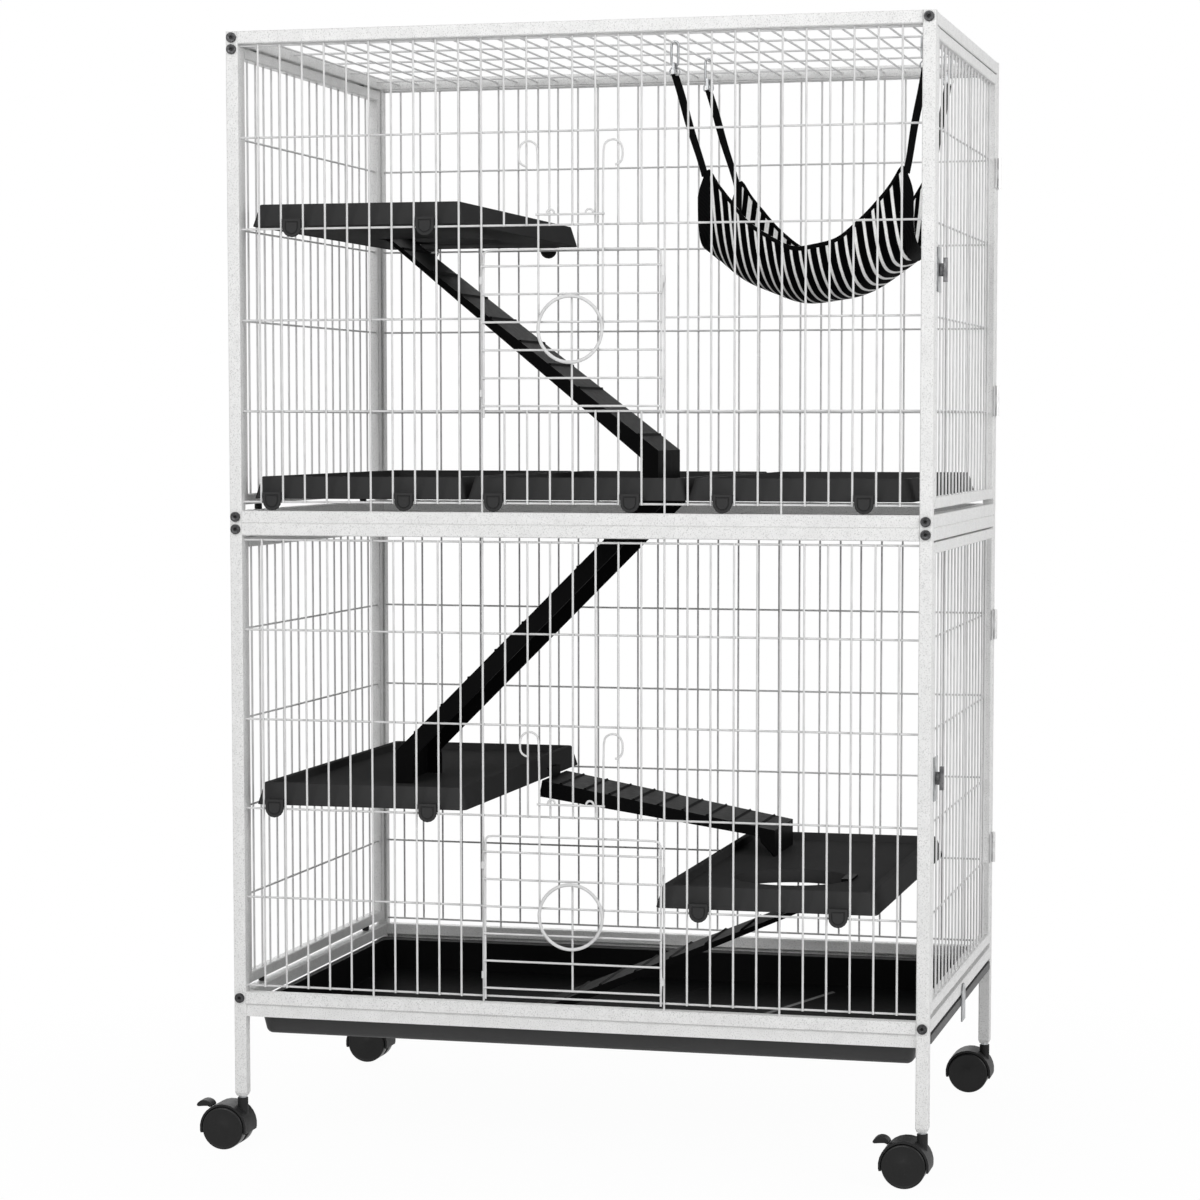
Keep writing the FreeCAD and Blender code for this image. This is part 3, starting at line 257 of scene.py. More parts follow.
@dataclass(frozen=True)
class SpeckledPaint(Finish):
    """White powder coat with fine grey specks and a slight orange-peel relief."""

    white: Colour = (0.80, 0.80, 0.795)
    speck: Colour = (0.57, 0.57, 0.565)
    shade: Colour = (0.74, 0.74, 0.735)
    cloud: Pair = (60.0, 3.0)
    specks: Pair = (780.0, 1.0)
    patches: Pair = (240.0, 2.0)
    peel: Pair = (420.0, 2.0)

    def mix(self, r: Recipe) -> None:
        """Lays the specks on a clouded ground."""
        ground = r.clouds(self.cloud, (0.35, 0.7), self.white, self.shade)
        dots = r.span(r.noise(self.specks), (0.55, 0.0), (0.68, 1.0))
        r.shade(
            Base_Color=r.blend(dots, ground, self.speck),
            Roughness=r.uneven(r.noise(self.patches), (0.36, 0.52)),
            Normal=r.relief((r.noise(self.peel), 0.25, 0.0003), (dots, 0.2, 0.00015)),
            Coat_Weight=0.08, Coat_Roughness=0.3,
        )


@dataclass(frozen=True)
class WireCoat(Finish):
    """Smooth white coat on wire, a little greyer in some places than in others."""

    white: Colour = (0.70, 0.70, 0.70)
    dull: Colour = (0.60, 0.60, 0.60)
    cloud: Pair = (45.0, 4.0)
    patches: Pair = (90.0, 3.0)
    grain: Pair = (700.0, 2.0)

    def mix(self, r: Recipe) -> None:
        """Clouds the white."""
        r.shade(
            Base_Color=r.clouds(self.cloud, (0.4, 0.75), self.white, self.dull),
            Roughness=r.uneven(r.noise(self.patches), (0.28, 0.42)),
            Normal=r.relief((r.noise(self.grain), 0.12, 0.0002)),
            Specular_IOR_Level=0.25,
        )


@dataclass(frozen=True)
class MouldedPlastic(Finish):
    """Black moulded plastic with a fine grain, dusty in a faint and uneven way."""

    black: Colour = (0.0420, 0.0420, 0.0424)
    worn: Colour = (0.0460, 0.0460, 0.0464)
    grain_in_a_metre: float = 1100.0
    gloss: float = 0.46
    shine: float = 0.0002
    dust: Pair = (9.0, 3.0)
    patches: Pair = (120.0, 4.0)
    swell: Pair = (18.0, 1.0)

    def mix(self, r: Recipe) -> None:
        """Lays the grain over a slow swell."""
        grain = r.add("TexVoronoi", feature="SMOOTH_F1", Vector=r.where, Scale=self.grain_in_a_metre)
        r.shade(
            Base_Color=r.clouds(self.dust, (0.35, 0.7), self.black, self.worn),
            Roughness=r.uneven(r.noise(self.patches), (self.gloss, self.gloss + 0.06)),
            Normal=r.relief((grain.outputs["Distance"], 0.16, 0.0002), (r.noise(self.swell), 0.003, 0.001)),
            Specular_IOR_Level=self.shine,
        )


@dataclass(frozen=True)
class ZincPlate(Finish):
    """Zinc-plated steel, a little clouded, with faint drawn streaks."""

    bright: Colour = (0.42, 0.43, 0.44)
    dull: Colour = (0.24, 0.245, 0.25)
    metal: float = 1.0
    cloud: Pair = (130.0, 4.0)
    streak: Pair = (1600.0, 2.0)
    drawn: Triple = (1.0, 1.0, 0.08)

    def mix(self, r: Recipe) -> None:
        """Draws the streaks along Z."""
        streaks = r.noise(self.streak, r.place(self.drawn))
        r.shade(
            Base_Color=r.clouds(self.cloud, (0.35, 0.7), self.bright, self.dull),
            Roughness=r.uneven(streaks, (0.26, 0.44)),
            Normal=r.relief((streaks, 0.1, 0.0001)),
            Metallic=self.metal,
        )


@dataclass(frozen=True)
class BlackOxide(Finish):
    """Blackened steel of the socket bolts, with paler rubbed places."""

    black: Colour = (0.030, 0.030, 0.031)
    rubbed: Colour = (0.085, 0.085, 0.088)
    rubs: Pair = (500.0, 3.0)
    patches: Pair = (900.0, 2.0)
    grain: Pair = (1800.0, 2.0)

    def mix(self, r: Recipe) -> None:
        """Rubs the black."""
        r.shade(
            Base_Color=r.clouds(self.rubs, (0.4, 0.75), self.black, self.rubbed),
            Roughness=r.uneven(r.noise(self.patches), (0.28, 0.5)),
            Normal=r.relief((r.noise(self.grain), 0.15, 0.0001)),
            Metallic=0.7,
        )


@dataclass(frozen=True)
class StripedCloth(Finish):
    """Woven cloth in narrow white stripes on black, read from the cloth's own UV map."""

    black: Colour = (0.0010, 0.0010, 0.0012)
    white: Colour = (0.90, 0.90, 0.89)
    stripes: float = 24.0
    slant: float = 0.12
    white_share: float = 0.29
    soft: float = 0.02
    wander: float = 0.12
    threads: float = 420.0
    waves: Pair = (30.0, 2.0)
    flecks: Pair = (700.0, 2.0)
    patches: Pair = (300.0, 2.0)
    crumple: Pair = (55.0, 2.0)

    def mix(self, r: Recipe) -> None:
        """Weaves slanted stripes that wander a little."""
        uv = r.add("UVMap", uv_map="UVMap").outputs["UV"]
        parts = r.add("SeparateXYZ", uv).outputs
        along, across = parts["X"], parts["Y"]
        wander = r.math("MULTIPLY", r.math("SUBTRACT", r.noise(self.waves), 0.5), self.wander)
        lean = r.math("SUBTRACT", along, r.math("MULTIPLY", across, self.slant))
        phase = r.math("FRACT", r.math("ADD", r.math("MULTIPLY", lean, self.stripes), wander))
        side = r.math("ABSOLUTE", r.math("SUBTRACT", phase, 0.5))
        half = self.white_share / 2
        stripe = r.span(side, (half - self.soft, 1.0), (half + self.soft, 0.0))
        fleck = r.span(r.noise(self.flecks), (0.35, 0.86), (0.65, 1.0))
        pale = r.blend(1.0, self.white, fleck, "MULTIPLY")
        turns = self.threads * math.tau
        weft, warp = (r.math("SINE", r.math("MULTIPLY", way, turns)) for way in (along, across))
        r.shade(
            Base_Color=r.blend(stripe, self.black, pale),
            Roughness=r.uneven(r.noise(self.patches), (0.82, 0.95)),
            Normal=r.relief((r.math("MULTIPLY", weft, warp), 0.25, 0.0002), (r.noise(self.crumple), 0.1, 0.001)),
            Specular_IOR_Level=0.02,
        )


@dataclass(frozen=True)
class StrapWebbing(Finish):
    """Black woven tape with a herringbone of fine threads."""

    black: Colour = (0.0015, 0.0015, 0.0017)
    grey: Colour = (0.0040, 0.0040, 0.0042)
    bands: float = 150.0
    patches: Pair = (260.0, 3.0)

    def mix(self, r: Recipe) -> None:
        """Weaves the threads on a slant."""
        wave = r.add("TexWave", bands_direction="DIAGONAL", Vector=r.where, Scale=self.bands, Distortion=0.6)
        threads = wave.outputs["Fac"]
        r.shade(
            Base_Color=r.blend(threads, self.black, self.grey),
            Roughness=r.uneven(r.noise(self.patches), (0.75, 0.92)),
            Normal=r.relief((threads, 0.35, 0.0003)),
            Specular_IOR_Level=0.04,
        )


class Slot(Enum):
    """The record's material slots."""

    TUBE = "white_tube"
    WIRE = "white_wire"
    PLASTIC = "black_plastic"
    WHEEL = "wheel_plastic"
    ZINC = "zinc"
    BOLT = "bolt_black"
    CLOTH = "hammock_fabric"
    STRAP = "strap_fabric"


class Variant(Enum):
    """Finishes that only some pieces of a slot have, painted shade and painted light among them."""

    # Painted shade: near-black plastic for the tray's inside, far darker than its outside; the ramps take it as their
    # own darker, glossier plastic.
    SLICK = "slick_plastic_and_painted_shade"
    # Painted light: paler plastic for the tray's outer wall, making up for the base rail's shadow on it.
    TRAY = "tray_plastic_painted_light"
    HOOD = "hood_plastic"
    PALE = "pale_zinc"
    DARK = "dark_zinc"
    # Painted shade: near-black for the bolts' sockets and the sides of their heads.
    SOCKET = "bolt_socket_painted_shade"
    INNER = "cloth_inside"


class FinishRack:
    """Every finish once, by slot or by variant."""

    def __init__(self) -> None:
        """Makes all the materials."""
        variants = {
            # Painted shade for the tray's inside; also the ramps' own darker, glossier plastic.
            Variant.SLICK: MouldedPlastic((0.0060, 0.0060, 0.0062), (0.0075, 0.0075, 0.0077), gloss=0.36, shine=0.0022),
            # Painted light: the tray's outer wall is made paler against the base rail's shadow.
            Variant.TRAY: MouldedPlastic((0.0550, 0.0550, 0.0554), (0.0600, 0.0600, 0.0604), shine=0.20),
            Variant.HOOD: MouldedPlastic((0.0195, 0.0195, 0.0198), (0.0230, 0.0230, 0.0233), shine=0.12),
            Variant.PALE: ZincPlate((0.74, 0.74, 0.74), (0.62, 0.62, 0.62), 0.25),
            Variant.DARK: ZincPlate((0.20, 0.20, 0.205), (0.06, 0.06, 0.062)),
            # Painted shade in the bolts' sockets and on the heads' sides.
            Variant.SOCKET: BlackOxide((0.003, 0.003, 0.003), (0.008, 0.008, 0.008)),
            Variant.INNER: StripedCloth(white_share=0.46),
        }
        wheel = MouldedPlastic((0.0085, 0.0085, 0.0085), (0.012, 0.012, 0.012), 1500.0, 0.30, 0.22)
        self.of: dict[Slot | Variant, bpy.types.Material] = {
            variant: finish.build(variant.value) for variant, finish in variants.items()
        }
        self.of |= {
            Slot.TUBE: SpeckledPaint().build("speckled_paint"),
            Slot.WIRE: WireCoat().build("wire_coat"),
            Slot.PLASTIC: MouldedPlastic().build("moulded_plastic"),
            Slot.WHEEL: wheel.build("wheel_plastic"),
            Slot.ZINC: ZincPlate().build("zinc_plate"),
            Slot.BOLT: BlackOxide().build("black_oxide"),
            Slot.CLOTH: StripedCloth().build("striped_cloth"),
            Slot.STRAP: StrapWebbing().build("strap_webbing"),
        }

    def paint(self, piece: Piece, finish: Slot | Variant) -> None:
        """Puts one finish all over a piece."""
        piece.data.materials.clear()
        piece.data.materials.append(self.of[finish])

    def paint_faces(self, piece: Piece, finish: Slot | Variant, test: Callable[[Face], bool]) -> None:
        """Gives some faces of a painted piece a second finish.

        Args:
            piece: The object.
            finish: The second finish.
            test: Says whether a face gets it.
        """
        piece.data.materials.append(self.of[finish])
        for face in piece.data.polygons:
            face.material_index = 1 if test(face) else 0


# Bench: the ways in which pieces are started, joined and finished

class Bench:
    """Starts, shapes and finishes pieces with Blender's own tools."""

    def __init__(self, frame: dict, rack: FinishRack) -> None:
        """Keeps the frame and the finishes.

        Args:
            rack: The finishes.
        """
        record = frame["record"]
        self.nodes = frame["nodes"]
        self.body_of = {node: body for body, nodes in record["behaviour"]["bodies"].items() for node in nodes}
        self.slot_of = {row["node"]: Slot(row["material_slot"]) for row in record["subparts"]}
        self.rack = rack

    def only(self, *pieces: Piece) -> None:
        """Selects these pieces and no others, the first one active."""
        if bpy.context.object and bpy.context.object.mode != "OBJECT":
            bpy.ops.object.mode_set(mode="OBJECT")
        bpy.ops.object.select_all(action="DESELECT")
        for piece in pieces:
            piece.select_set(True)
        bpy.context.view_layer.objects.active = pieces[0] if pieces else None

    def take(self, name: str) -> Piece:
        """Names the shape that was just added and settles it.

        Args:
            name: Its name.

        Returns:
            The shape.
        """
        piece = bpy.context.object
        piece.name = name
        self.settle(piece)
        return piece

    def edit(self, piece: Piece, mode: str = "FACE", action: str = "DESELECT") -> None:
        """Opens a piece for editing with nothing or everything selected.

        Args:
            piece: The piece.
            mode: What is selected: VERT, EDGE or FACE.
            action: DESELECT for nothing, SELECT for everything.
        """
        self.only(piece)
        bpy.ops.object.mode_set(mode="EDIT")
        bpy.ops.mesh.select_mode(type=mode)
        bpy.ops.mesh.select_all(action=action)

    def close(self) -> None:
        """Leaves edit mode."""
        bpy.ops.object.mode_set(mode="OBJECT")

    def pick(self, piece: Piece, test: Callable[[Face | Edge], bool], mode: str = "FACE") -> None:
        """Opens a piece for editing with the faces or edges selected that pass a test.

        Args:
            piece: The piece.
            test: Says whether a face or an edge is picked.
            mode: What is picked: FACE or EDGE.
        """
        self.edit(piece, mode)
        self.close()
        for part in piece.data.polygons if mode == "FACE" else piece.data.edges:
            part.select = test(part)
        bpy.ops.object.mode_set(mode="EDIT")

    def insets(self, *steps: Pair, each: bool = False) -> None:
        """Insets the picked faces by each step's width and depth, together or each by itself."""
        for width, depth in steps:
            bpy.ops.mesh.inset(thickness=width, depth=depth, use_individual=each)

    def round_edges(self, piece: Piece, test: Callable[[Edge], bool], width: float, segments: int) -> None:
        """Rounds the edges that pass a test.

        Args:
            piece: The piece.
            test: Says whether an edge is rounded.
            width: How far the rounding reaches.
            segments: Its steps.
        """
        self.pick(piece, test, "EDGE")
        bpy.ops.mesh.bevel(offset=width, segments=segments, affect="EDGES")
        self.close()

    def apply(self, piece: Piece, kind: str, **settings: object) -> None:
        """Adds a modifier and applies it.

        Args:
            piece: The piece.
            kind: The modifier's type.
            settings: The modifier's settings.
        """
        self.only(piece)
        modifier = piece.modifiers.new(kind.lower(), kind)
        for key, value in settings.items():
            setattr(modifier, key, value)
        bpy.ops.object.modifier_apply(modifier=modifier.name)

    def bevel(self, piece: Piece, width: float, angle: float = 50.0, segments: int = 2) -> None:
        """Softens the edges that are sharper than an angle in degrees."""
        self.apply(piece, "BEVEL", width=width, segments=segments, limit_method="ANGLE",
                   angle_limit=math.radians(angle))

    def settle(self, piece: Piece) -> None:
        """Puts a piece's place, turn and size into its mesh."""
        self.only(piece)
        bpy.ops.object.transform_apply(location=True, rotation=True, scale=True)

    def smooth(self, piece: Piece, angle: float) -> None:
        """Shades a piece smooth up to an angle in degrees."""
        self.only(piece)
        bpy.ops.object.shade_smooth_by_angle(angle=math.radians(angle))

    def clean(self, piece: Piece) -> None:
        """Merges doubles and turns the faces outward."""
        self.edit(piece, action="SELECT")
        bpy.ops.mesh.remove_doubles(threshold=CLEAN_GAP)
        bpy.ops.mesh.normals_make_consistent(inside=False)
        self.close()

    def copies(self, model: Piece, places: list[Matrix], name: str) -> Piece:
        """Copies one model to many places as a single piece, and removes the model.

        Args:
            model: What is copied.
            places: Where each copy goes.
            name: The piece's name.

        Returns:
            The joined piece.
        """
        made = []
        for place in places:
            twin = model.copy()
            twin.data = model.data.copy()
            bpy.context.scene.collection.objects.link(twin)
            twin.data.transform(place)
            made.append(twin)
        bpy.data.objects.remove(model)
        self.only(*made)
        bpy.ops.object.join()
        piece = made[0]
        piece.name = name
        return piece

    def copy_of(self, node: str, name: str, whole: bool) -> Piece:
        """A merged copy of a CAD node, in quads or with its flat faces made whole.

        Args:
            node: The node.
            name: The copy's name.
            whole: Whether flat faces become one face each.

        Returns:
            The copy.
        """
        piece = bpy.data.objects.new(name, self.nodes[node].data.copy())
        bpy.context.scene.collection.objects.link(piece)
        self.edit(piece, action="SELECT")
        bpy.ops.mesh.remove_doubles(threshold=COPY_GAP)
        bpy.ops.mesh.customdata_custom_splitnormals_clear()
        if whole:
            bpy.ops.mesh.dissolve_limited(angle_limit=math.radians(FLAT_ANGLE))
        else:
            bpy.ops.mesh.tris_convert_to_quads(face_threshold=math.radians(QUAD_ANGLE), shape_threshold=math.pi)
        self.close()
        return piece

    def hand_in(self, piece: Piece, body: str, slot: Slot, nodes: tuple[str, ...] = (),
                variant: Variant | None = None) -> None:
        """Paints a piece, sets it on its body and lets it stand for nodes.

        Args:
            piece: The finished piece.
            body: The body that it rides on.
            slot: Its slot.
            nodes: The CAD nodes that it stands for.
            variant: Its finish, where that isn't the slot's own.
        """
        self.rack.paint(piece, variant or slot)
        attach(piece, body)
        if nodes:
            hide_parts(*nodes)
        LOG.info("%s on %s: %d faces", piece.name, body, len(piece.data.polygons))

    def stand_in(self, piece: Piece, node: str, variant: Variant | None = None) -> None:
        """Hands in a piece in the place of one node, on the node's body and slot."""
        self.hand_in(piece, self.body_of[node], self.slot_of[node], (node,), variant)


# Sub-assemblies

@dataclass
class PaintedFrame:
    """The CAD nodes that keep their own shape and only get a finish."""

    bench: Bench
    variants: dict[str, Variant] = field(default_factory=lambda: {
        "hinge_post_leaves": Variant.PALE, "upper_door_hinges": Variant.PALE, "lower_door_hinges": Variant.PALE,
        "upper_latch_knob": Variant.DARK, "lower_latch_knob": Variant.DARK,
    })

    def dress(self) -> None:
        """Gives every node the finish that the record names for it, hinges and knobs their own."""
        for name, node in self.bench.nodes.items():
            self.bench.rack.paint(node, self.variants.get(name, self.bench.slot_of[name]))
        LOG.info("painted %d nodes", len(self.bench.nodes))


@dataclass
class WireWork:
    """Grilles, lift doors, handles and hammock hooks, with wires rounded from the six-sided ones."""

    bench: Bench
    sharp: float = 80.0
    shading: float = 55.0
    rounds: int = 1
    thicker: dict[str, float] = field(default_factory=lambda: {"hammock_hooks": 0.0005})
    nodes: tuple[str, ...] = (
        "upper_front_grille", "lower_front_grille", "upper_rear_grille", "lower_rear_grille", "roof_grille",
        "upper_left_wires", "lower_left_wires", "upper_door_wires", "lower_door_wires",
        "upper_front_door", "lower_front_door", "upper_door_handle", "lower_door_handle", "hammock_hooks",
    )

    def build(self) -> None:
        """Rounds the wires of each node."""
        for node in self.nodes:
            self.bench.stand_in(self.round_wires(node), node)

    def round_wires(self, node: str) -> Piece:
        """Rounds one node's wires, keeping their cut ends flat.

        Args:
            node: The node.

        Returns:
            The rounded copy.
        """
        piece = self.bench.copy_of(node, node + "_round", False)
        self.bench.edit(piece, "EDGE")
        bpy.ops.mesh.edges_select_sharp(sharpness=math.radians(self.sharp))
        bpy.ops.transform.edge_crease(value=1.0)
        self.bench.close()
        self.bench.apply(piece, "SUBSURF", levels=self.rounds, render_levels=self.rounds)
        if node in self.thicker:
            self.bench.edit(piece, "VERT", "SELECT")
            bpy.ops.transform.shrink_fatten(value=self.thicker[node])
            self.bench.close()
        self.bench.smooth(piece, self.shading)
        return piece


@dataclass
class MouldedParts:
    """Shelves, tray, hooks, spacers, hoods and brakes with the soft edges that moulding leaves."""

    bench: Bench
    edge: float = 0.0011
    least_angle: float = 25.0
    shading: float = 40.0
    foot: float = 0.006
    foot_steps: int = 4
    foot_level: float = 0.0003
    upright: float = 0.6
    rim: float = 0.002
    tab: float = 0.0026
    tab_facing: float = 0.95
    line: float = 0.0012
    nodes: tuple[str, ...] = (
        *SHELVES, "base_tray", "shelf_hooks", "panel_spacers", *(corner + "_hood" for corner in CORNERS),
        "front_left_brake", "front_right_brake",
    )

    def build(self) -> None:
        """Softens each node."""
        for node in self.nodes:
            piece = self.bench.copy_of(node, node + "_soft", True)
            if node == "shelf_hooks":
                self.outline(piece)
            if node == "base_tray":
                self.round_foot(piece)
            self.soften(piece)
            self.bench.stand_in(piece, node, Variant.HOOD if node.endswith(("_hood", "_brake")) else None)
            if node == "base_tray":
                self.paint_tray_light_and_shade(piece)

    def round_foot(self, piece: Piece) -> None:
        """Rounds the edge between the tray's bottom and its outer walls."""
        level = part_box("base_tray")[0].z + self.foot_level
        walls = [face for face in piece.data.polygons if abs(face.normal.z) < self.upright]
        outer = {key for face in walls for key in face.edge_keys}
        low = {edge.key for edge in piece.data.edges
               if max(piece.data.vertices[i].co.z for i in edge.vertices) < level}
        picked = outer & low
        self.bench.round_edges(piece, lambda edge: edge.key in picked, self.foot, self.foot_steps)

    def paint_tray_light_and_shade(self, piece: Piece) -> None:
        """Paints the tray's outside paler, as painted light against the base rail's shadow, and its inside much darker,
        as painted shade.
        """
        low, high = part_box("base_tray")
        middle = Vector(((low.x + high.x) / 2, (low.y + high.y) / 2, high.z))
        self.bench.rack.paint(piece, Variant.TRAY)
        self.bench.rack.paint_faces(
            piece, Variant.SLICK,
            lambda face: face.normal.dot(middle - face.center) > 0 and face.center.z < high.z - self.rim,
        )

    def outline(self, piece: Piece) -> None:
        """Sinks a fine line round the front of each hook's tab."""
        side = self.line / 2
        self.bench.pick(piece, lambda face: face.normal.y < -self.tab_facing)
        self.bench.insets((self.tab, 0.0), (side, -self.line), (side, 0.0), (side, self.line), each=True)
        self.bench.close()

    def soften(self, piece: Piece) -> None:
        """Rounds the edges of one piece.

        Args:
            piece: A merged copy of a node.
        """
        self.bench.bevel(piece, self.edge, self.least_angle)
        self.bench.smooth(piece, self.shading)
        self.bench.apply(piece, "WEIGHTED_NORMAL", keep_sharp=True)


@dataclass
class Ramps:
    """Ramps whose side skirts run out from a deep foot to a thin head."""

    bench: Bench
    moulds: MouldedParts
    plank: float = 0.0025
    shorter: float = 0.008
    head_share: float = 0.06
    foot_share: float = 0.48
    deepens: Pair = (0.45, 0.90)
    last: float = 0.97
    near: float = 0.0002
    lip: float = 0.0005
    deck_tilt: Pair = (0.3, 0.1)
    nodes: tuple[str, ...] = ("upper_ramp", "middle_ramp", "link_ramp", "tray_ramp")

    def build(self) -> dict[str, Piece]:
        """Slims and softens each ramp.

        Returns:
            The ramps by node.
        """
        made = {}
        for node in self.nodes:
            piece = self.bench.copy_of(node, node + "_soft", True)
            self.slim(piece)
            self.moulds.soften(piece)
            self.bench.stand_in(piece, node, Variant.SLICK)
            made[node] = piece
        return made

    def slim(self, piece: Piece) -> None:
        """Shortens the lip and draws the skirts' lower edges up toward the plank.

        Args:
            piece: A merged copy of the ramp.
        """
        points = piece.data.vertices
        up, lean = self.deck_tilt
        decks = [face for face in piece.data.polygons if face.normal.z > up and abs(face.normal.x) > lean]
        deck = max(decks, key=lambda face: face.area)
        out, start = deck.normal.copy(), deck.center.copy()
        way = 1.0 if out.x > 0 else -1.0
        down = Vector((out.z, 0.0, -out.x)) * way
        places = [(p.co - start).dot(down) for p in points if abs((p.co - start).dot(out)) < self.near]
        head, foot = min(places), max(places)
        end = min(point.co.x * way for point in points)
        for point in points:
            if point.co.x * way < end + self.lip:
                point.co.x += way * self.shorter
        for point in points:
            depth = -(point.co - start).dot(out)
            if depth < self.plank + self.near:
                continue
            part = ((point.co - start).dot(down) - head) / (foot - head)
            if 0.0 < part <= self.last:
                rise = (part - self.deepens[0]) / (self.deepens[1] - self.deepens[0])
                share = self.head_share + (self.foot_share - self.head_share) * min(1.0, max(0.0, rise))
                point.co += out * ((depth - self.plank) * (1.0 - share))


def hole_middle(shelf: str, height: float) -> Vector:
    """The middle of a shelf's hole, in line with the ramp that hangs in it.

    Args:
        shelf: The shelf's node.
        height: The height that is given to it.

    Returns:
        The middle.
    """
    low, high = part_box(shelf)
    ramp_low, ramp_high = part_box(HOLES[shelf][0])
    return Vector(((low.x + high.x) / 2, (ramp_low.y + ramp_high.y) / 2, height))


@dataclass
class HoleCollars:
    """Short round walls that hang from the edges of the shelves' holes."""

    bench: Bench
    radius: float = 0.0661
    wall: float = 0.0022
    recess: float = 0.0088
    depth: float = 0.0135
    clear: float = 0.0012
    least: float = 0.0002
    stub: float = 0.0012
    above: float = 0.0008
    edge: float = 0.0005
    shading: float = 40.0
    steps: int = 72
    reaches: Triple = (-0.002, 0.0, 0.004)

    def build(self, ramps: dict[str, Piece]) -> None:
        """Hangs a collar below each hole, cut short where its ramp passes.

        Args:
            ramps: The ramps by node.
        """
        for shelf, (ramp, _) in HOLES.items():
            middle = hole_middle(shelf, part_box(shelf)[1].z - self.recess)
            self.bench.hand_in(self.collar(shelf + "_collar", middle, ramps[ramp]), ROOT, Slot.PLASTIC)

    def collar(self, name: str, middle: Vector, ramp: Piece) -> Piece:
        """One collar.

        Args:
            name: Its name.
            middle: The middle of its upper edge.
            ramp: The ramp that passes it.

        Returns:
            The collar.
        """
        self.bench.only()
        bpy.ops.mesh.primitive_cylinder_add(
            vertices=self.steps, radius=self.radius, depth=self.depth, end_fill_type="NOTHING",
            location=middle - Vector((0.0, 0.0, self.depth / 2)),
        )
        piece = self.bench.take(name)
        view = bpy.context.evaluated_depsgraph_get()
        for point in piece.data.vertices:
            if point.co.z > middle.z - self.depth / 2:
                continue
            out = Vector((point.co.x - middle.x, point.co.y - middle.y, 0.0)).normalized()
            for reach in self.reaches:
                above = Vector((point.co.x, point.co.y, middle.z + self.above)) + out * reach
                hit, spot, _, _ = ramp.ray_cast(above, Vector((0.0, 0.0, -1.0)), depsgraph=view)
                if hit:
                    point.co.z = max(point.co.z, min(middle.z - self.least, spot.z + self.clear))
        self.bench.pick(piece, lambda face: face.center.z > middle.z - self.stub)
        bpy.ops.mesh.delete(type="FACE")
        self.bench.close()
        self.bench.apply(piece, "SOLIDIFY", thickness=self.wall, offset=1.0)
        self.bench.bevel(piece, self.edge)
        self.bench.smooth(piece, self.shading)
        return piece


@dataclass
class Undersides:
    """Flat panels that close the shelves from below, open under their holes."""

    bench: Bench
    inset: float = 0.0022
    lift: float = 0.0006
    thickness: float = 0.0018
    corner: float = 0.004
    corner_steps: int = 5
    edge: float = 0.0004
    shading: float = 30.0
    radius: float = 0.0661
    steps: int = 72
    cut: float = 0.02
    notch: Triple = (0.067, 0.020, 0.0595)

    def build(self) -> None:
        """Closes each shelf."""
        for shelf in SHELVES:
            piece = self.panel(shelf)
            if shelf in HOLES:
                self.pierce(piece, shelf)
            self.bench.bevel(piece, self.edge)
            self.bench.clean(piece)
            self.bench.smooth(piece, self.shading)
            self.bench.hand_in(piece, ROOT, Slot.PLASTIC)

    def panel(self, shelf: str) -> Piece:
        """One panel with round corners, just above the skirt's lower edge.

        Args:
            shelf: The shelf's node.

        Returns:
            The panel.
        """
        low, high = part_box(shelf)
        self.bench.only()
        bpy.ops.mesh.primitive_cube_add(size=1.0)
        piece = self.bench.take(shelf + "_underside")
        piece.scale = (high.x - low.x - 2 * self.inset, high.y - low.y - 2 * self.inset, self.thickness)
        piece.location = ((low.x + high.x) / 2, (low.y + high.y) / 2, low.z + self.lift + self.thickness / 2)
        self.bench.settle(piece)
        points = [point.co.copy() for point in piece.data.vertices]

        def upright(edge: Edge) -> bool:
            """Says whether an edge runs up the panel's side."""
            first, second = (points[i] for i in edge.vertices)
            return abs(first.z - second.z) > self.thickness / 2

        self.bench.round_edges(piece, upright, self.corner, self.corner_steps)
        return piece

    def pierce(self, piece: Piece, shelf: str) -> None:
        """Cuts the hole, and the notch beside it that the ramp's head needs.

        Args:
            piece: The panel.
            shelf: The shelf's node.
        """
        middle = hole_middle(shelf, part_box(shelf)[0].z)
        far, near, half = self.notch
        shift = Vector((HOLES[shelf][1] * (far + near) / 2, 0.0, 0.0))
        self.bench.only()
        bpy.ops.mesh.primitive_cylinder_add(vertices=self.steps, radius=self.radius, depth=self.cut, location=middle)
        round_cut = bpy.context.object
        self.bench.only()
        bpy.ops.mesh.primitive_cube_add(size=1.0, location=middle + shift)
        square_cut = bpy.context.object
        square_cut.scale = (far - near, 2 * half, self.cut)
        for cut in (round_cut, square_cut):
            self.bench.settle(cut)
            self.bench.apply(piece, "BOOLEAN", object=cut, operation="DIFFERENCE", solver="EXACT")
            bpy.data.objects.remove(cut)


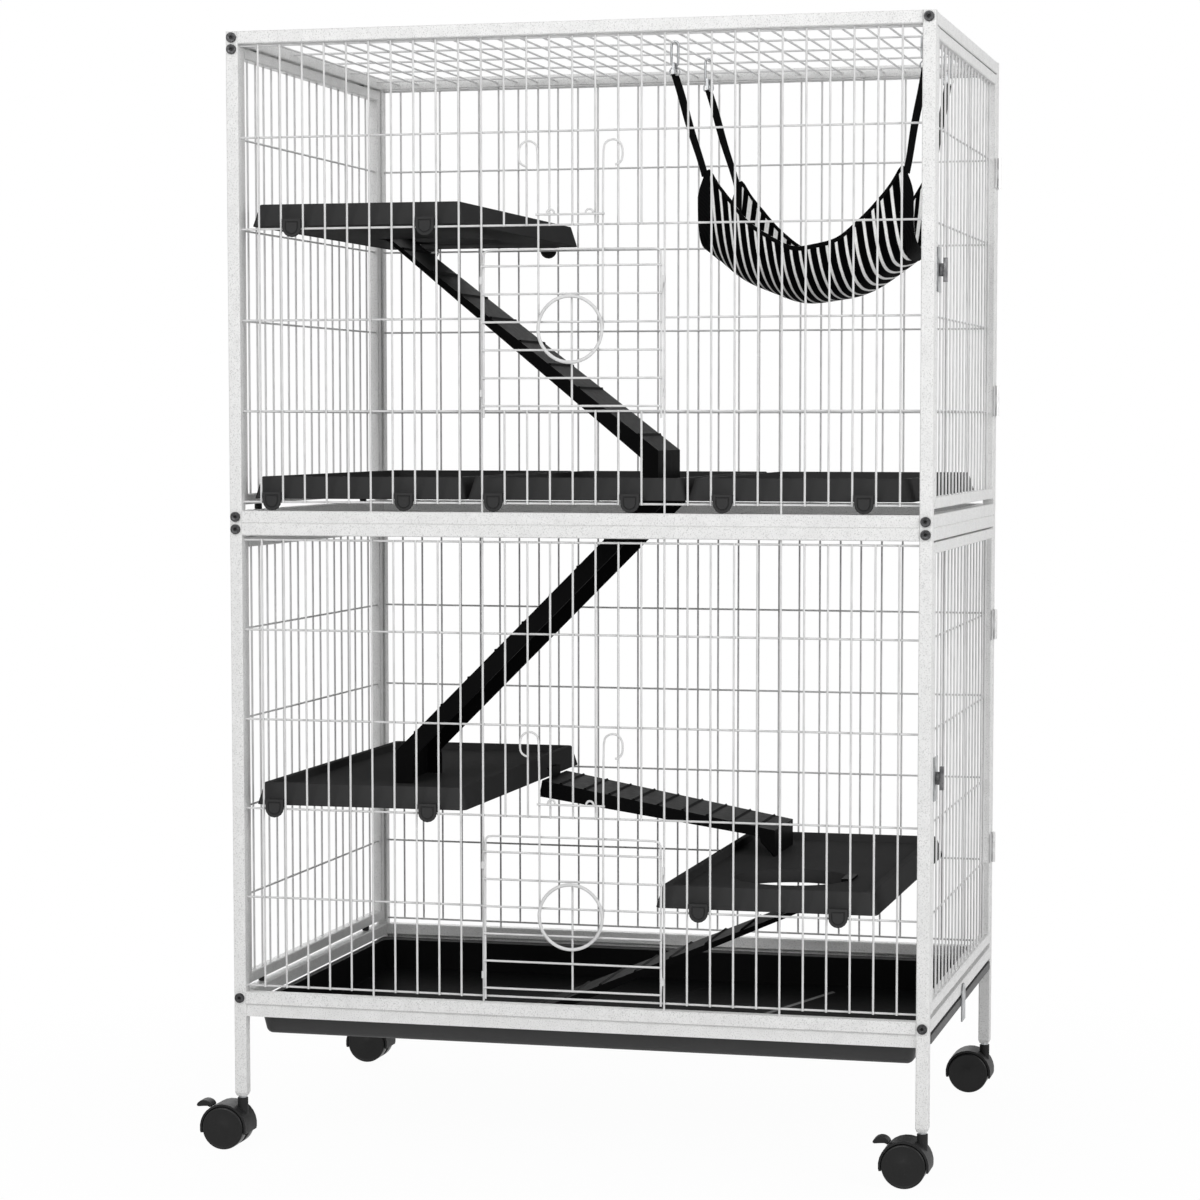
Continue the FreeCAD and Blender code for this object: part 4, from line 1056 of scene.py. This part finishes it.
@dataclass
class BoltHeads:
    """Low round socket heads of the bolts in the posts."""

    bench: Bench
    radius: float = 0.0056
    height: float = 0.0026
    ease: float = 0.0009
    socket: float = 0.0021
    socket_depth: float = 0.0016
    groove: float = 0.0040
    groove_depth: float = 0.0003
    lip: float = 0.0002
    edge: float = 0.0004
    least_angle: float = 35.0
    shading: float = 30.0
    # Side faces steeper than side_tilt and out past side_share of the radius get painted shade.
    side_tilt: float = 0.3
    side_share: float = 0.9
    tube: float = 0.014
    second: float = 0.013
    steps: int = 36

    def build(self) -> None:
        """Models one head, then copies it to each bolt."""
        places = []
        for place in self.find():
            turn = Matrix.Rotation(math.radians(90 if place.y < 0 else -90), 4, "X")
            places.append(Matrix.Translation(place) @ turn)
        piece = self.bench.copies(self.model(), places, "bolt_heads")
        # The faces with painted shade, kept before the piece is painted afresh.
        dark = [face.material_index for face in piece.data.polygons]
        self.bench.hand_in(piece, ROOT, Slot.BOLT, ("frame_bolts",))
        self.bench.rack.paint_faces(piece, Variant.SOCKET, lambda face: dark[face.index] == 1)

    def find(self) -> list[Vector]:
        """The middle of each bolt's seat on its post.

        Returns:
            One place for each bolt.
        """
        low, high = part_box("upper_posts")
        base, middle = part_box("lower_rails")[0].z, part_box("lower_posts")[1].z
        half = self.tube / 2
        heights = (base + half, middle - half, middle + half, high.z - half)
        sides = (low.x + half, high.x - half)
        found = [Vector((x, y, z)) for x in sides for y in (low.y, high.y) for z in heights]
        found.append(Vector((low.x + half, low.y, high.z - half - self.second)))
        return found

    def model(self) -> Piece:
        """One bolt head, standing up on its seat.

        Returns:
            The head.
        """
        self.bench.only()
        bpy.ops.mesh.primitive_cylinder_add(vertices=self.steps, radius=self.radius, depth=self.height,
                                            location=(0.0, 0.0, self.height / 2))
        head = self.bench.take("bolt_head")
        self.bench.pick(head, lambda face: face.normal.z > FACING)
        self.bench.insets(
            (self.ease, 0.0), (self.radius - self.ease - self.groove, 0.0),
            (self.groove - self.socket, -self.groove_depth), (self.lip, 0.0),
        )
        bpy.ops.mesh.extrude_region_move(TRANSFORM_OT_translate={"value": (0.0, 0.0, -self.socket_depth)})
        self.bench.close()
        self.bench.bevel(head, self.edge, self.least_angle)
        self.bench.clean(head)
        self.bench.smooth(head, self.shading)
        self.bench.rack.paint(head, Slot.BOLT)
        self.bench.rack.paint_faces(head, Variant.SOCKET, self.takes_painted_shade)
        return head

    def takes_painted_shade(self, face: Face) -> bool:
        """Says whether a face of the head gets painted shade: those in the socket and those on the head's side.

        Args:
            face: The face.

        Returns:
            Whether it does.
        """
        reach = math.hypot(face.center.x, face.center.y)
        sunk = reach < self.socket + self.lip / 2 and face.center.z < self.height - self.edge
        return sunk or (face.normal.z < self.side_tilt and reach > self.radius * self.side_share)


@dataclass
class Casters:
    """Twin wheels with plain faces, a raised rim line and a rounded tread."""

    bench: Bench
    radius: float = 0.0245
    width: float = 0.016
    gap: float = 0.0042
    ease: float = 0.0022
    ease_share: float = 0.9
    ease_steps: int = 3
    shading: float = 35.0
    steps: int = 56
    face: tuple[Pair, ...] = ((0.0009, -0.0004), (0.0006, 0.0), (0.0135, 0.0), (0.0008, 0.0003))

    def build(self) -> None:
        """Models a wheel for each axle, then sets a pair of it there."""
        for corner in CORNERS:
            low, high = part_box(corner + "_wheels")
            middle, apart = (low + high) / 2, Vector((0.0, self.gap, 0.0))
            out = Matrix.Translation(middle - apart)
            back = Matrix.Translation(middle + apart) @ Matrix.Rotation(math.pi, 4, "Z")
            piece = self.bench.copies(self.model(), [out, back], corner + "_twin_wheels")
            self.bench.hand_in(piece, corner + "_twin_wheel", Slot.WHEEL, (corner + "_wheels",))

    def model(self) -> Piece:
        """One wheel about the Y axis, its inner face at the origin and its outer face toward -Y.

        Returns:
            The wheel.
        """
        self.bench.only()
        bpy.ops.mesh.primitive_cylinder_add(vertices=self.steps, radius=self.radius, depth=self.width,
                                            location=(0.0, -self.width / 2, 0.0), rotation=(math.pi / 2, 0.0, 0.0))
        wheel = self.bench.take("wheel")
        self.bench.pick(wheel, lambda face: face.normal.y < -FACING)
        self.bench.insets((self.ease, 0.0), *self.face)
        self.bench.close()
        self.bench.bevel(wheel, self.ease * self.ease_share, segments=self.ease_steps)
        self.bench.clean(wheel)
        self.bench.smooth(wheel, self.shading)
        return wheel


@dataclass
class Hammock:
    """A striped cloth sling, bound in black, on four straps."""

    bench: Bench
    rim_sag: float = 0.091
    end_sag: float = 0.087
    middle_sag: float = 0.056
    end_full: float = 4.0
    middle_full: float = 2.2
    spread: float = 0.005
    thickness: float = 0.0016
    columns: int = 72
    rows: int = 48
    fine_steps: int = 160
    even_steps: int = 96
    corner: Pair = (0.95, 0.97)
    longer: float = 0.0085
    moved: float = 0.0055
    ear: float = 0.90
    ear_fall: float = 2.2
    ear_round: float = 0.016
    ear_lift: float = 0.004
    ripple: Triple = (0.0011, 11.0, 0.35)
    fold: Triple = (0.0016, 26.0, 0.6)
    end_hem: int = 4
    rim_hem: int = 1
    hem_thickness: float = 0.0032
    hem_edge: float = 0.001
    cloth_shading: float = 60.0
    small_shading: float = 50.0
    strap_width: float = 0.0105
    strap_thickness: float = 0.0015
    strap_edge: float = 0.0004
    strap_turn: float = 37.0
    strap_grid: tuple[int, int] = (4, 24)
    strap_inset: float = 0.0008
    strap_tuck: float = 0.008
    strap_bend: Pair = (0.0006, 9.0)
    strap_twist: Pair = (0.0005, 5.0)
    ring: Pair = (0.0058, 0.0009)
    ring_steps: tuple[int, int] = (40, 10)
    ring_rise: float = 0.0036
    cloth_box: tuple[Vector, Vector] = field(default_factory=lambda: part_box("hammock_cloth"))
    strap_box: tuple[Vector, Vector] = field(default_factory=lambda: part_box("hammock_straps"))
    sections: dict[float, list[Vector]] = field(default_factory=dict)

    def build(self) -> None:
        """Hangs the cloth, binds its edge and straps its corners."""
        cloth = self.cloth()
        self.bench.hand_in(cloth, ROOT, Slot.CLOTH, ("hammock_cloth",))
        self.line(cloth)
        hem = self.hem()
        self.bench.hand_in(hem, ROOT, Slot.STRAP)
        for piece in self.straps():
            self.bench.hand_in(piece, ROOT, Slot.STRAP, ("hammock_straps",))
        self.bench.hand_in(self.rings(), ROOT, Slot.ZINC)

    def rounded(self, u: float, v: float) -> Pair:
        """Draws a place near a corner of the cloth in, so that the corner is round.

        Args:
            u: Along the cloth, -1 to 1.
            v: Across the cloth, -1 to 1.

        Returns:
            The place along and across.
        """
        room_u, room_v = 1 - self.corner[0], 1 - self.corner[1]
        a = (abs(u) - self.corner[0]) / room_u
        b = (abs(v) - self.corner[1]) / room_v
        if a <= 0 or b <= 0:
            return u, v
        share = max(a, b) / math.hypot(a, b)
        return (math.copysign(self.corner[0] + a * share * room_u, u),
                math.copysign(self.corner[1] + b * share * room_v, v))

    def at(self, u: float, v: float) -> Vector:
        """A place on the hung cloth.

        Args:
            u: Along the cloth, -1 at its left end to 1 at its right.
            v: Across the cloth, -1 at its front rim to 1 at its rear.

        Returns:
            The place.
        """
        u, v = self.rounded(u, v)
        points = self.section(u)
        spot = (v + 1) / 2 * (len(points) - 1)
        index = min(int(spot), len(points) - 2)
        return points[index].lerp(points[index + 1], spot - index)

    def soft_least(self, first: float, second: float) -> float:
        """The lesser of two heights, with a round change from one to the other."""
        near = max(self.ear_round - abs(first - second), 0.0) / self.ear_round
        return min(first, second) - near * near * self.ear_round / 4

    def section(self, u: float) -> list[Vector]:
        """Evenly spaced places across the cloth: upright sides that turn into a round bottom.

        Args:
            u: Along the cloth, -1 at its left end to 1 at its right.

        Returns:
            Places from the front rim to the rear one.
        """
        if u in self.sections:
            return self.sections[u]
        low, high = self.cloth_box
        bow = 1.0 - u * u
        reach = (high.x - low.x) / 2 + self.longer
        x = (low.x + high.x) / 2 + self.moved + u * reach
        middle = (low.y + high.y) / 2
        half = (high.y - low.y) / 2 - self.spread * (1.0 - bow)
        rising = high.z + self.ear_lift - self.rim_sag * (1.0 - (u / self.ear) ** 2)
        falling = high.z + self.ear_lift - self.ear_fall * (abs(u) - self.ear) * reach
        rim = self.soft_least(rising, falling)
        plain = high.z - self.rim_sag * bow
        sag = self.end_sag + (self.middle_sag - self.end_sag) * bow + rim - plain
        power = 2 / (self.end_full + (self.middle_full - self.end_full) * bow)
        fine = []
        for k in range(self.fine_steps + 1):
            turn = math.pi * (k / self.fine_steps - 0.5)
            out = math.copysign(abs(math.sin(turn)) ** power, turn)
            fine.append(Vector((x, middle + half * out, rim - sag * abs(math.cos(turn)) ** power)))
        self.sections[u] = self.spaced(fine)
        return self.sections[u]

    def spaced(self, fine: list[Vector]) -> list[Vector]:
        """Evenly spaced places along a line.

        Args:
            fine: The line's points.

        Returns:
            The places.
        """
        lengths = [0.0]
        for near, far in zip(fine, fine[1:]):
            lengths.append(lengths[-1] + (far - near).length)
        points = []
        place = 0
        for k in range(self.even_steps + 1):
            goal = lengths[-1] * k / self.even_steps
            while place < len(fine) - 2 and lengths[place + 1] < goal:
                place += 1
            part = (goal - lengths[place]) / max(1e-9, lengths[place + 1] - lengths[place])
            points.append(fine[place].lerp(fine[place + 1], min(1.0, part)))
        return points

    def cloth(self) -> Piece:
        """The sling as one thin sheet with its own UV map.

        Returns:
            The cloth.
        """
        cloth = self.grid("hammock_sling")
        self.bench.apply(cloth, "SOLIDIFY", thickness=self.thickness, offset=0.0)
        self.bench.smooth(cloth, self.cloth_shading)
        return cloth

    def grid(self, name: str) -> Piece:
        """A bare grid laid into the hung shape, with soft ripples and with folds at its corners.

        Args:
            name: The piece's name.

        Returns:
            The grid.
        """
        self.bench.only()
        bpy.ops.mesh.primitive_grid_add(x_subdivisions=self.columns, y_subdivisions=self.rows, size=2.0,
                                        calc_uvs=True, location=(0.0, 0.0, 0.0))
        piece = self.bench.take(name)
        ripple, ripples, ripple_lean = self.ripple
        fold, folds, fold_lean = self.fold
        for point in piece.data.vertices:
            u, v = point.co.x, point.co.y
            place = self.at(u, v)
            pull = (abs(u) * abs(v)) ** 3
            soft = ripple * math.sin(ripples * (u - ripple_lean * v * u)) * (1 - pull)
            sharp = fold * math.sin(folds * (abs(u) - fold_lean * abs(v))) * pull
            point.co = place + Vector((0.0, 0.0, soft + sharp))
        return piece

    def line(self, cloth: Piece) -> None:
        """Gives the sling's inside its wider white stripes."""
        low, high = self.cloth_box
        middle = (low.y + high.y) / 2

        def inside(face: Face) -> bool:
            """Says whether a face looks into the sling."""
            return face.normal.dot(Vector((face.center.x, middle, high.z)) - face.center) > 0

        self.bench.rack.paint_faces(cloth, Variant.INNER, inside)

    def hem(self) -> Piece:
        """Black tape over the cloth's whole edge, wide at the ends and narrow along the rims.

        Returns:
            The hem.
        """
        piece = self.grid("hammock_hem")

        def bare(face: Face) -> bool:
            """Says whether the tape leaves a face of the grid bare."""
            row, column = divmod(face.index, self.columns)
            ends = min(column, self.columns - 1 - column) < self.end_hem
            rims = min(row, self.rows - 1 - row) < self.rim_hem
            return not (ends or rims)

        self.bench.pick(piece, bare)
        bpy.ops.mesh.delete(type="FACE")
        self.bench.close()
        self.bench.apply(piece, "SOLIDIFY", thickness=self.hem_thickness, offset=0.0)
        self.bench.bevel(piece, self.hem_edge)
        self.bench.smooth(piece, self.cloth_shading)
        return piece

    def rings(self) -> Piece:
        """A round wire ring at the top of each strap, flat on its lower side where the strap turns over it.

        Returns:
            The rings as one piece.
        """
        low, high = self.strap_box
        cloth_low, cloth_high = self.cloth_box
        radius, wire = self.ring
        self.bench.only()
        bpy.ops.mesh.primitive_torus_add(
            major_radius=radius, minor_radius=wire, major_segments=self.ring_steps[0],
            minor_segments=self.ring_steps[1], rotation=(math.pi / 2, 0.0, 0.0),
        )
        model = self.bench.take("hammock_ring")
        for point in model.data.vertices:
            middle = radius * math.sin(math.atan2(point.co.z, point.co.x))
            point.co.z += max(0.0, -self.ring_rise - middle)
        self.bench.smooth(model, self.small_shading)
        places = []
        for x in (low.x + self.strap_thickness / 2, high.x - self.strap_thickness / 2):
            for y in (cloth_low.y + self.spread, cloth_high.y - self.spread):
                places.append(Matrix.Translation((x, y, high.z + self.ring_rise - wire)))
        return self.bench.copies(model, places, "hammock_rings")

    def straps(self) -> list[Piece]:
        """Four flat straps from the hooks down to the cloth's corners.

        Returns:
            The straps.
        """
        low, high = self.strap_box
        cloth_low, cloth_high = self.cloth_box
        ends = {"left": (low.x + self.strap_inset, cloth_low.x), "right": (high.x - self.strap_inset, cloth_high.x)}
        rows = {"front": cloth_low.y + self.spread, "rear": cloth_high.y - self.spread}
        made = []
        for side, (hook_x, corner_x) in ends.items():
            for row, y in rows.items():
                start = Vector((hook_x, y, high.z))
                end = Vector((corner_x + self.moved, y, cloth_high.z - self.strap_tuck))
                made.append(self.strap(f"hammock_strap_{row}_{side}", start, end))
        return made

    def strap(self, name: str, start: Vector, end: Vector) -> Piece:
        """One strap, slightly bent and twisted along its run.

        Args:
            name: Its name.
            start: The middle of its upper end.
            end: The middle of its lower end.

        Returns:
            The strap.
        """
        self.bench.only()
        bpy.ops.mesh.primitive_grid_add(x_subdivisions=self.strap_grid[0], y_subdivisions=self.strap_grid[1],
                                        size=2.0, calc_uvs=True)
        strap = self.bench.take(name)
        run = end - start
        turn = math.radians(self.strap_turn)
        across = Vector((math.sin(turn), math.cos(turn), 0.0))
        flat = run.cross(across).normalized()
        (bend, bends), (twist, twists) = self.strap_bend, self.strap_twist
        for point in strap.data.vertices:
            side, t = point.co.x, (1 - point.co.y) / 2
            wave = bend * math.sin(t * bends) + twist * side * math.sin(t * twists)
            point.co = start + run * t + across * (side * self.strap_width / 2) + flat * wave
        self.bench.apply(strap, "SOLIDIFY", thickness=self.strap_thickness, offset=0.0)
        self.bench.bevel(strap, self.strap_edge)
        self.bench.clean(strap)
        self.bench.smooth(strap, self.small_shading)
        return strap


# Studio

@dataclass
class Studio:
    """A pale floor, soft lamps, a white world and the camera of the photograph."""

    eye: Vector = field(default_factory=lambda: Vector((0.9197, -3.6564, 0.8313)))
    yaw: float = -0.2436
    pitch: float = -0.0739
    lens: float = 95.5
    sensor: float = 36.0
    shift: Pair = (-0.0188, 0.0482)
    clip: Pair = (0.05, 100.0)
    floor_size: float = 30.0
    floor_drop: float = 0.0005
    paper: float = 0.86
    fade: tuple[Pair, Pair] = ((0.45, 0.97), (1.1, 1.0))
    soft: float = 0.28
    aim: Triple = (0.0, 0.0, 0.65)
    lamps: tuple[tuple[str, Triple, float, float], ...] = (
        ("key", (-0.9, -3.9, 2.3), 2.4, 76.0),
        ("fill", (3.2, -1.8, 1.8), 2.2, 62.0),
        ("top", (0.2, 0.4, 3.6), 2.6, 16.0),
        ("rear", (-1.2, 3.2, 1.9), 2.4, 30.0),
    )

    def build(self) -> None:
        """Sets the whole studio."""
        self.floor()
        self.world()
        for name, place, size, power in self.lamps:
            self.lamp(name, Vector(place), size, power)
        self.camera()
        bpy.context.scene.view_settings.view_transform = "Standard"

    def seen(self, tree: Tree) -> Socket:
        """Whether a ray comes from the camera, a mirroring surface or a clear one.

        Args:
            tree: The tree that asks.

        Returns:
            1 for such rays and 0 for the others.
        """
        path = tree.add("LightPath").outputs
        direct = tree.math("MAXIMUM", path["Is Camera Ray"], path["Is Glossy Ray"])
        return tree.math("MAXIMUM", direct, path["Is Transmission Ray"])

    def floor(self) -> None:
        """A wide pale floor that keeps the object's shadow and fades to white away from it."""
        bpy.ops.object.select_all(action="DESELECT")
        bpy.ops.mesh.primitive_plane_add(size=self.floor_size, location=(0.0, 0.0, -self.floor_drop))
        floor = bpy.context.object
        floor.name = "studio_floor"
        bpy.ops.object.transform_apply(location=True, rotation=True, scale=True)
        material = bpy.data.materials.new("studio_paper")
        material.use_nodes = True
        tree = Tree(material.node_tree, "OutputMaterial")
        paper = tree.add("BsdfDiffuse", Color=(self.paper, self.paper, self.paper, 1.0))
        glow = tree.add("Emission", Color=WHITE)
        far = tree.add("VectorMath", tree.add("TexCoord").outputs["Object"], operation="LENGTH")
        share = tree.math("MULTIPLY", self.seen(tree), tree.span(far.outputs["Value"], *self.fade))
        mix = tree.add("MixShader", share, paper.outputs["BSDF"], glow.outputs["Emission"])
        tree.fill(tree.output, Surface=mix.outputs["Shader"])
        floor.data.materials.append(material)

    def world(self) -> None:
        """White where it is seen, a soft even light elsewhere."""
        world = bpy.data.worlds.new("studio_world")
        bpy.context.scene.world = world
        world.use_nodes = True
        tree = Tree(world.node_tree, "OutputWorld")
        soft, white = (
            tree.add("Background", Strength=strength, Color=WHITE).outputs["Background"]
            for strength in (self.soft, 1.0)
        )
        mix = tree.add("MixShader", self.seen(tree), soft, white)
        tree.fill(tree.output, Surface=mix.outputs["Shader"])

    def lamp(self, name: str, place: Vector, size: float, power: float) -> None:
        """A soft square lamp that faces the middle of the cage.

        Args:
            name: Its name.
            place: Where it stands.
            size: Its side in metres.
            power: Its power in watts.
        """
        light = bpy.data.lights.new("lamp_" + name, "AREA")
        light.shape = "SQUARE"
        light.size = size
        light.energy = power
        lamp = bpy.data.objects.new("lamp_" + name, light)
        bpy.context.scene.collection.objects.link(lamp)
        lamp.location = place
        lamp.rotation_mode = "QUATERNION"
        lamp.rotation_quaternion = (Vector(self.aim) - place).to_track_quat("-Z", "Y")

    def camera(self) -> None:
        """The camera at the photograph's viewing angle, for a square picture."""
        data = bpy.data.cameras.new("photo_camera")
        data.lens = self.lens
        data.sensor_width = self.sensor
        data.shift_x, data.shift_y = self.shift
        data.clip_start, data.clip_end = self.clip
        camera = bpy.data.objects.new("photo_camera", data)
        bpy.context.scene.collection.objects.link(camera)
        flat = math.cos(self.pitch)
        ahead = Vector((math.sin(self.yaw) * flat, math.cos(self.yaw) * flat, math.sin(self.pitch)))
        camera.location = self.eye
        camera.rotation_mode = "QUATERNION"
        camera.rotation_quaternion = ahead.to_track_quat("-Z", "Y")
        bpy.context.scene.camera = camera


def main() -> None:
    """Loads the frame, dresses it piece by piece and sets the studio."""
    logging.basicConfig(level=logging.INFO, format="%(name)s: %(message)s")
    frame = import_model()
    bench = Bench(frame, FinishRack())
    PaintedFrame(bench).dress()
    WireWork(bench).build()
    moulds = MouldedParts(bench)
    moulds.build()
    HoleCollars(bench).build(Ramps(bench, moulds).build())
    Undersides(bench).build()
    BoltHeads(bench).build()
    Casters(bench).build()
    Hammock(bench).build()
    Studio().build()


if __name__ == "__main__":
    main()
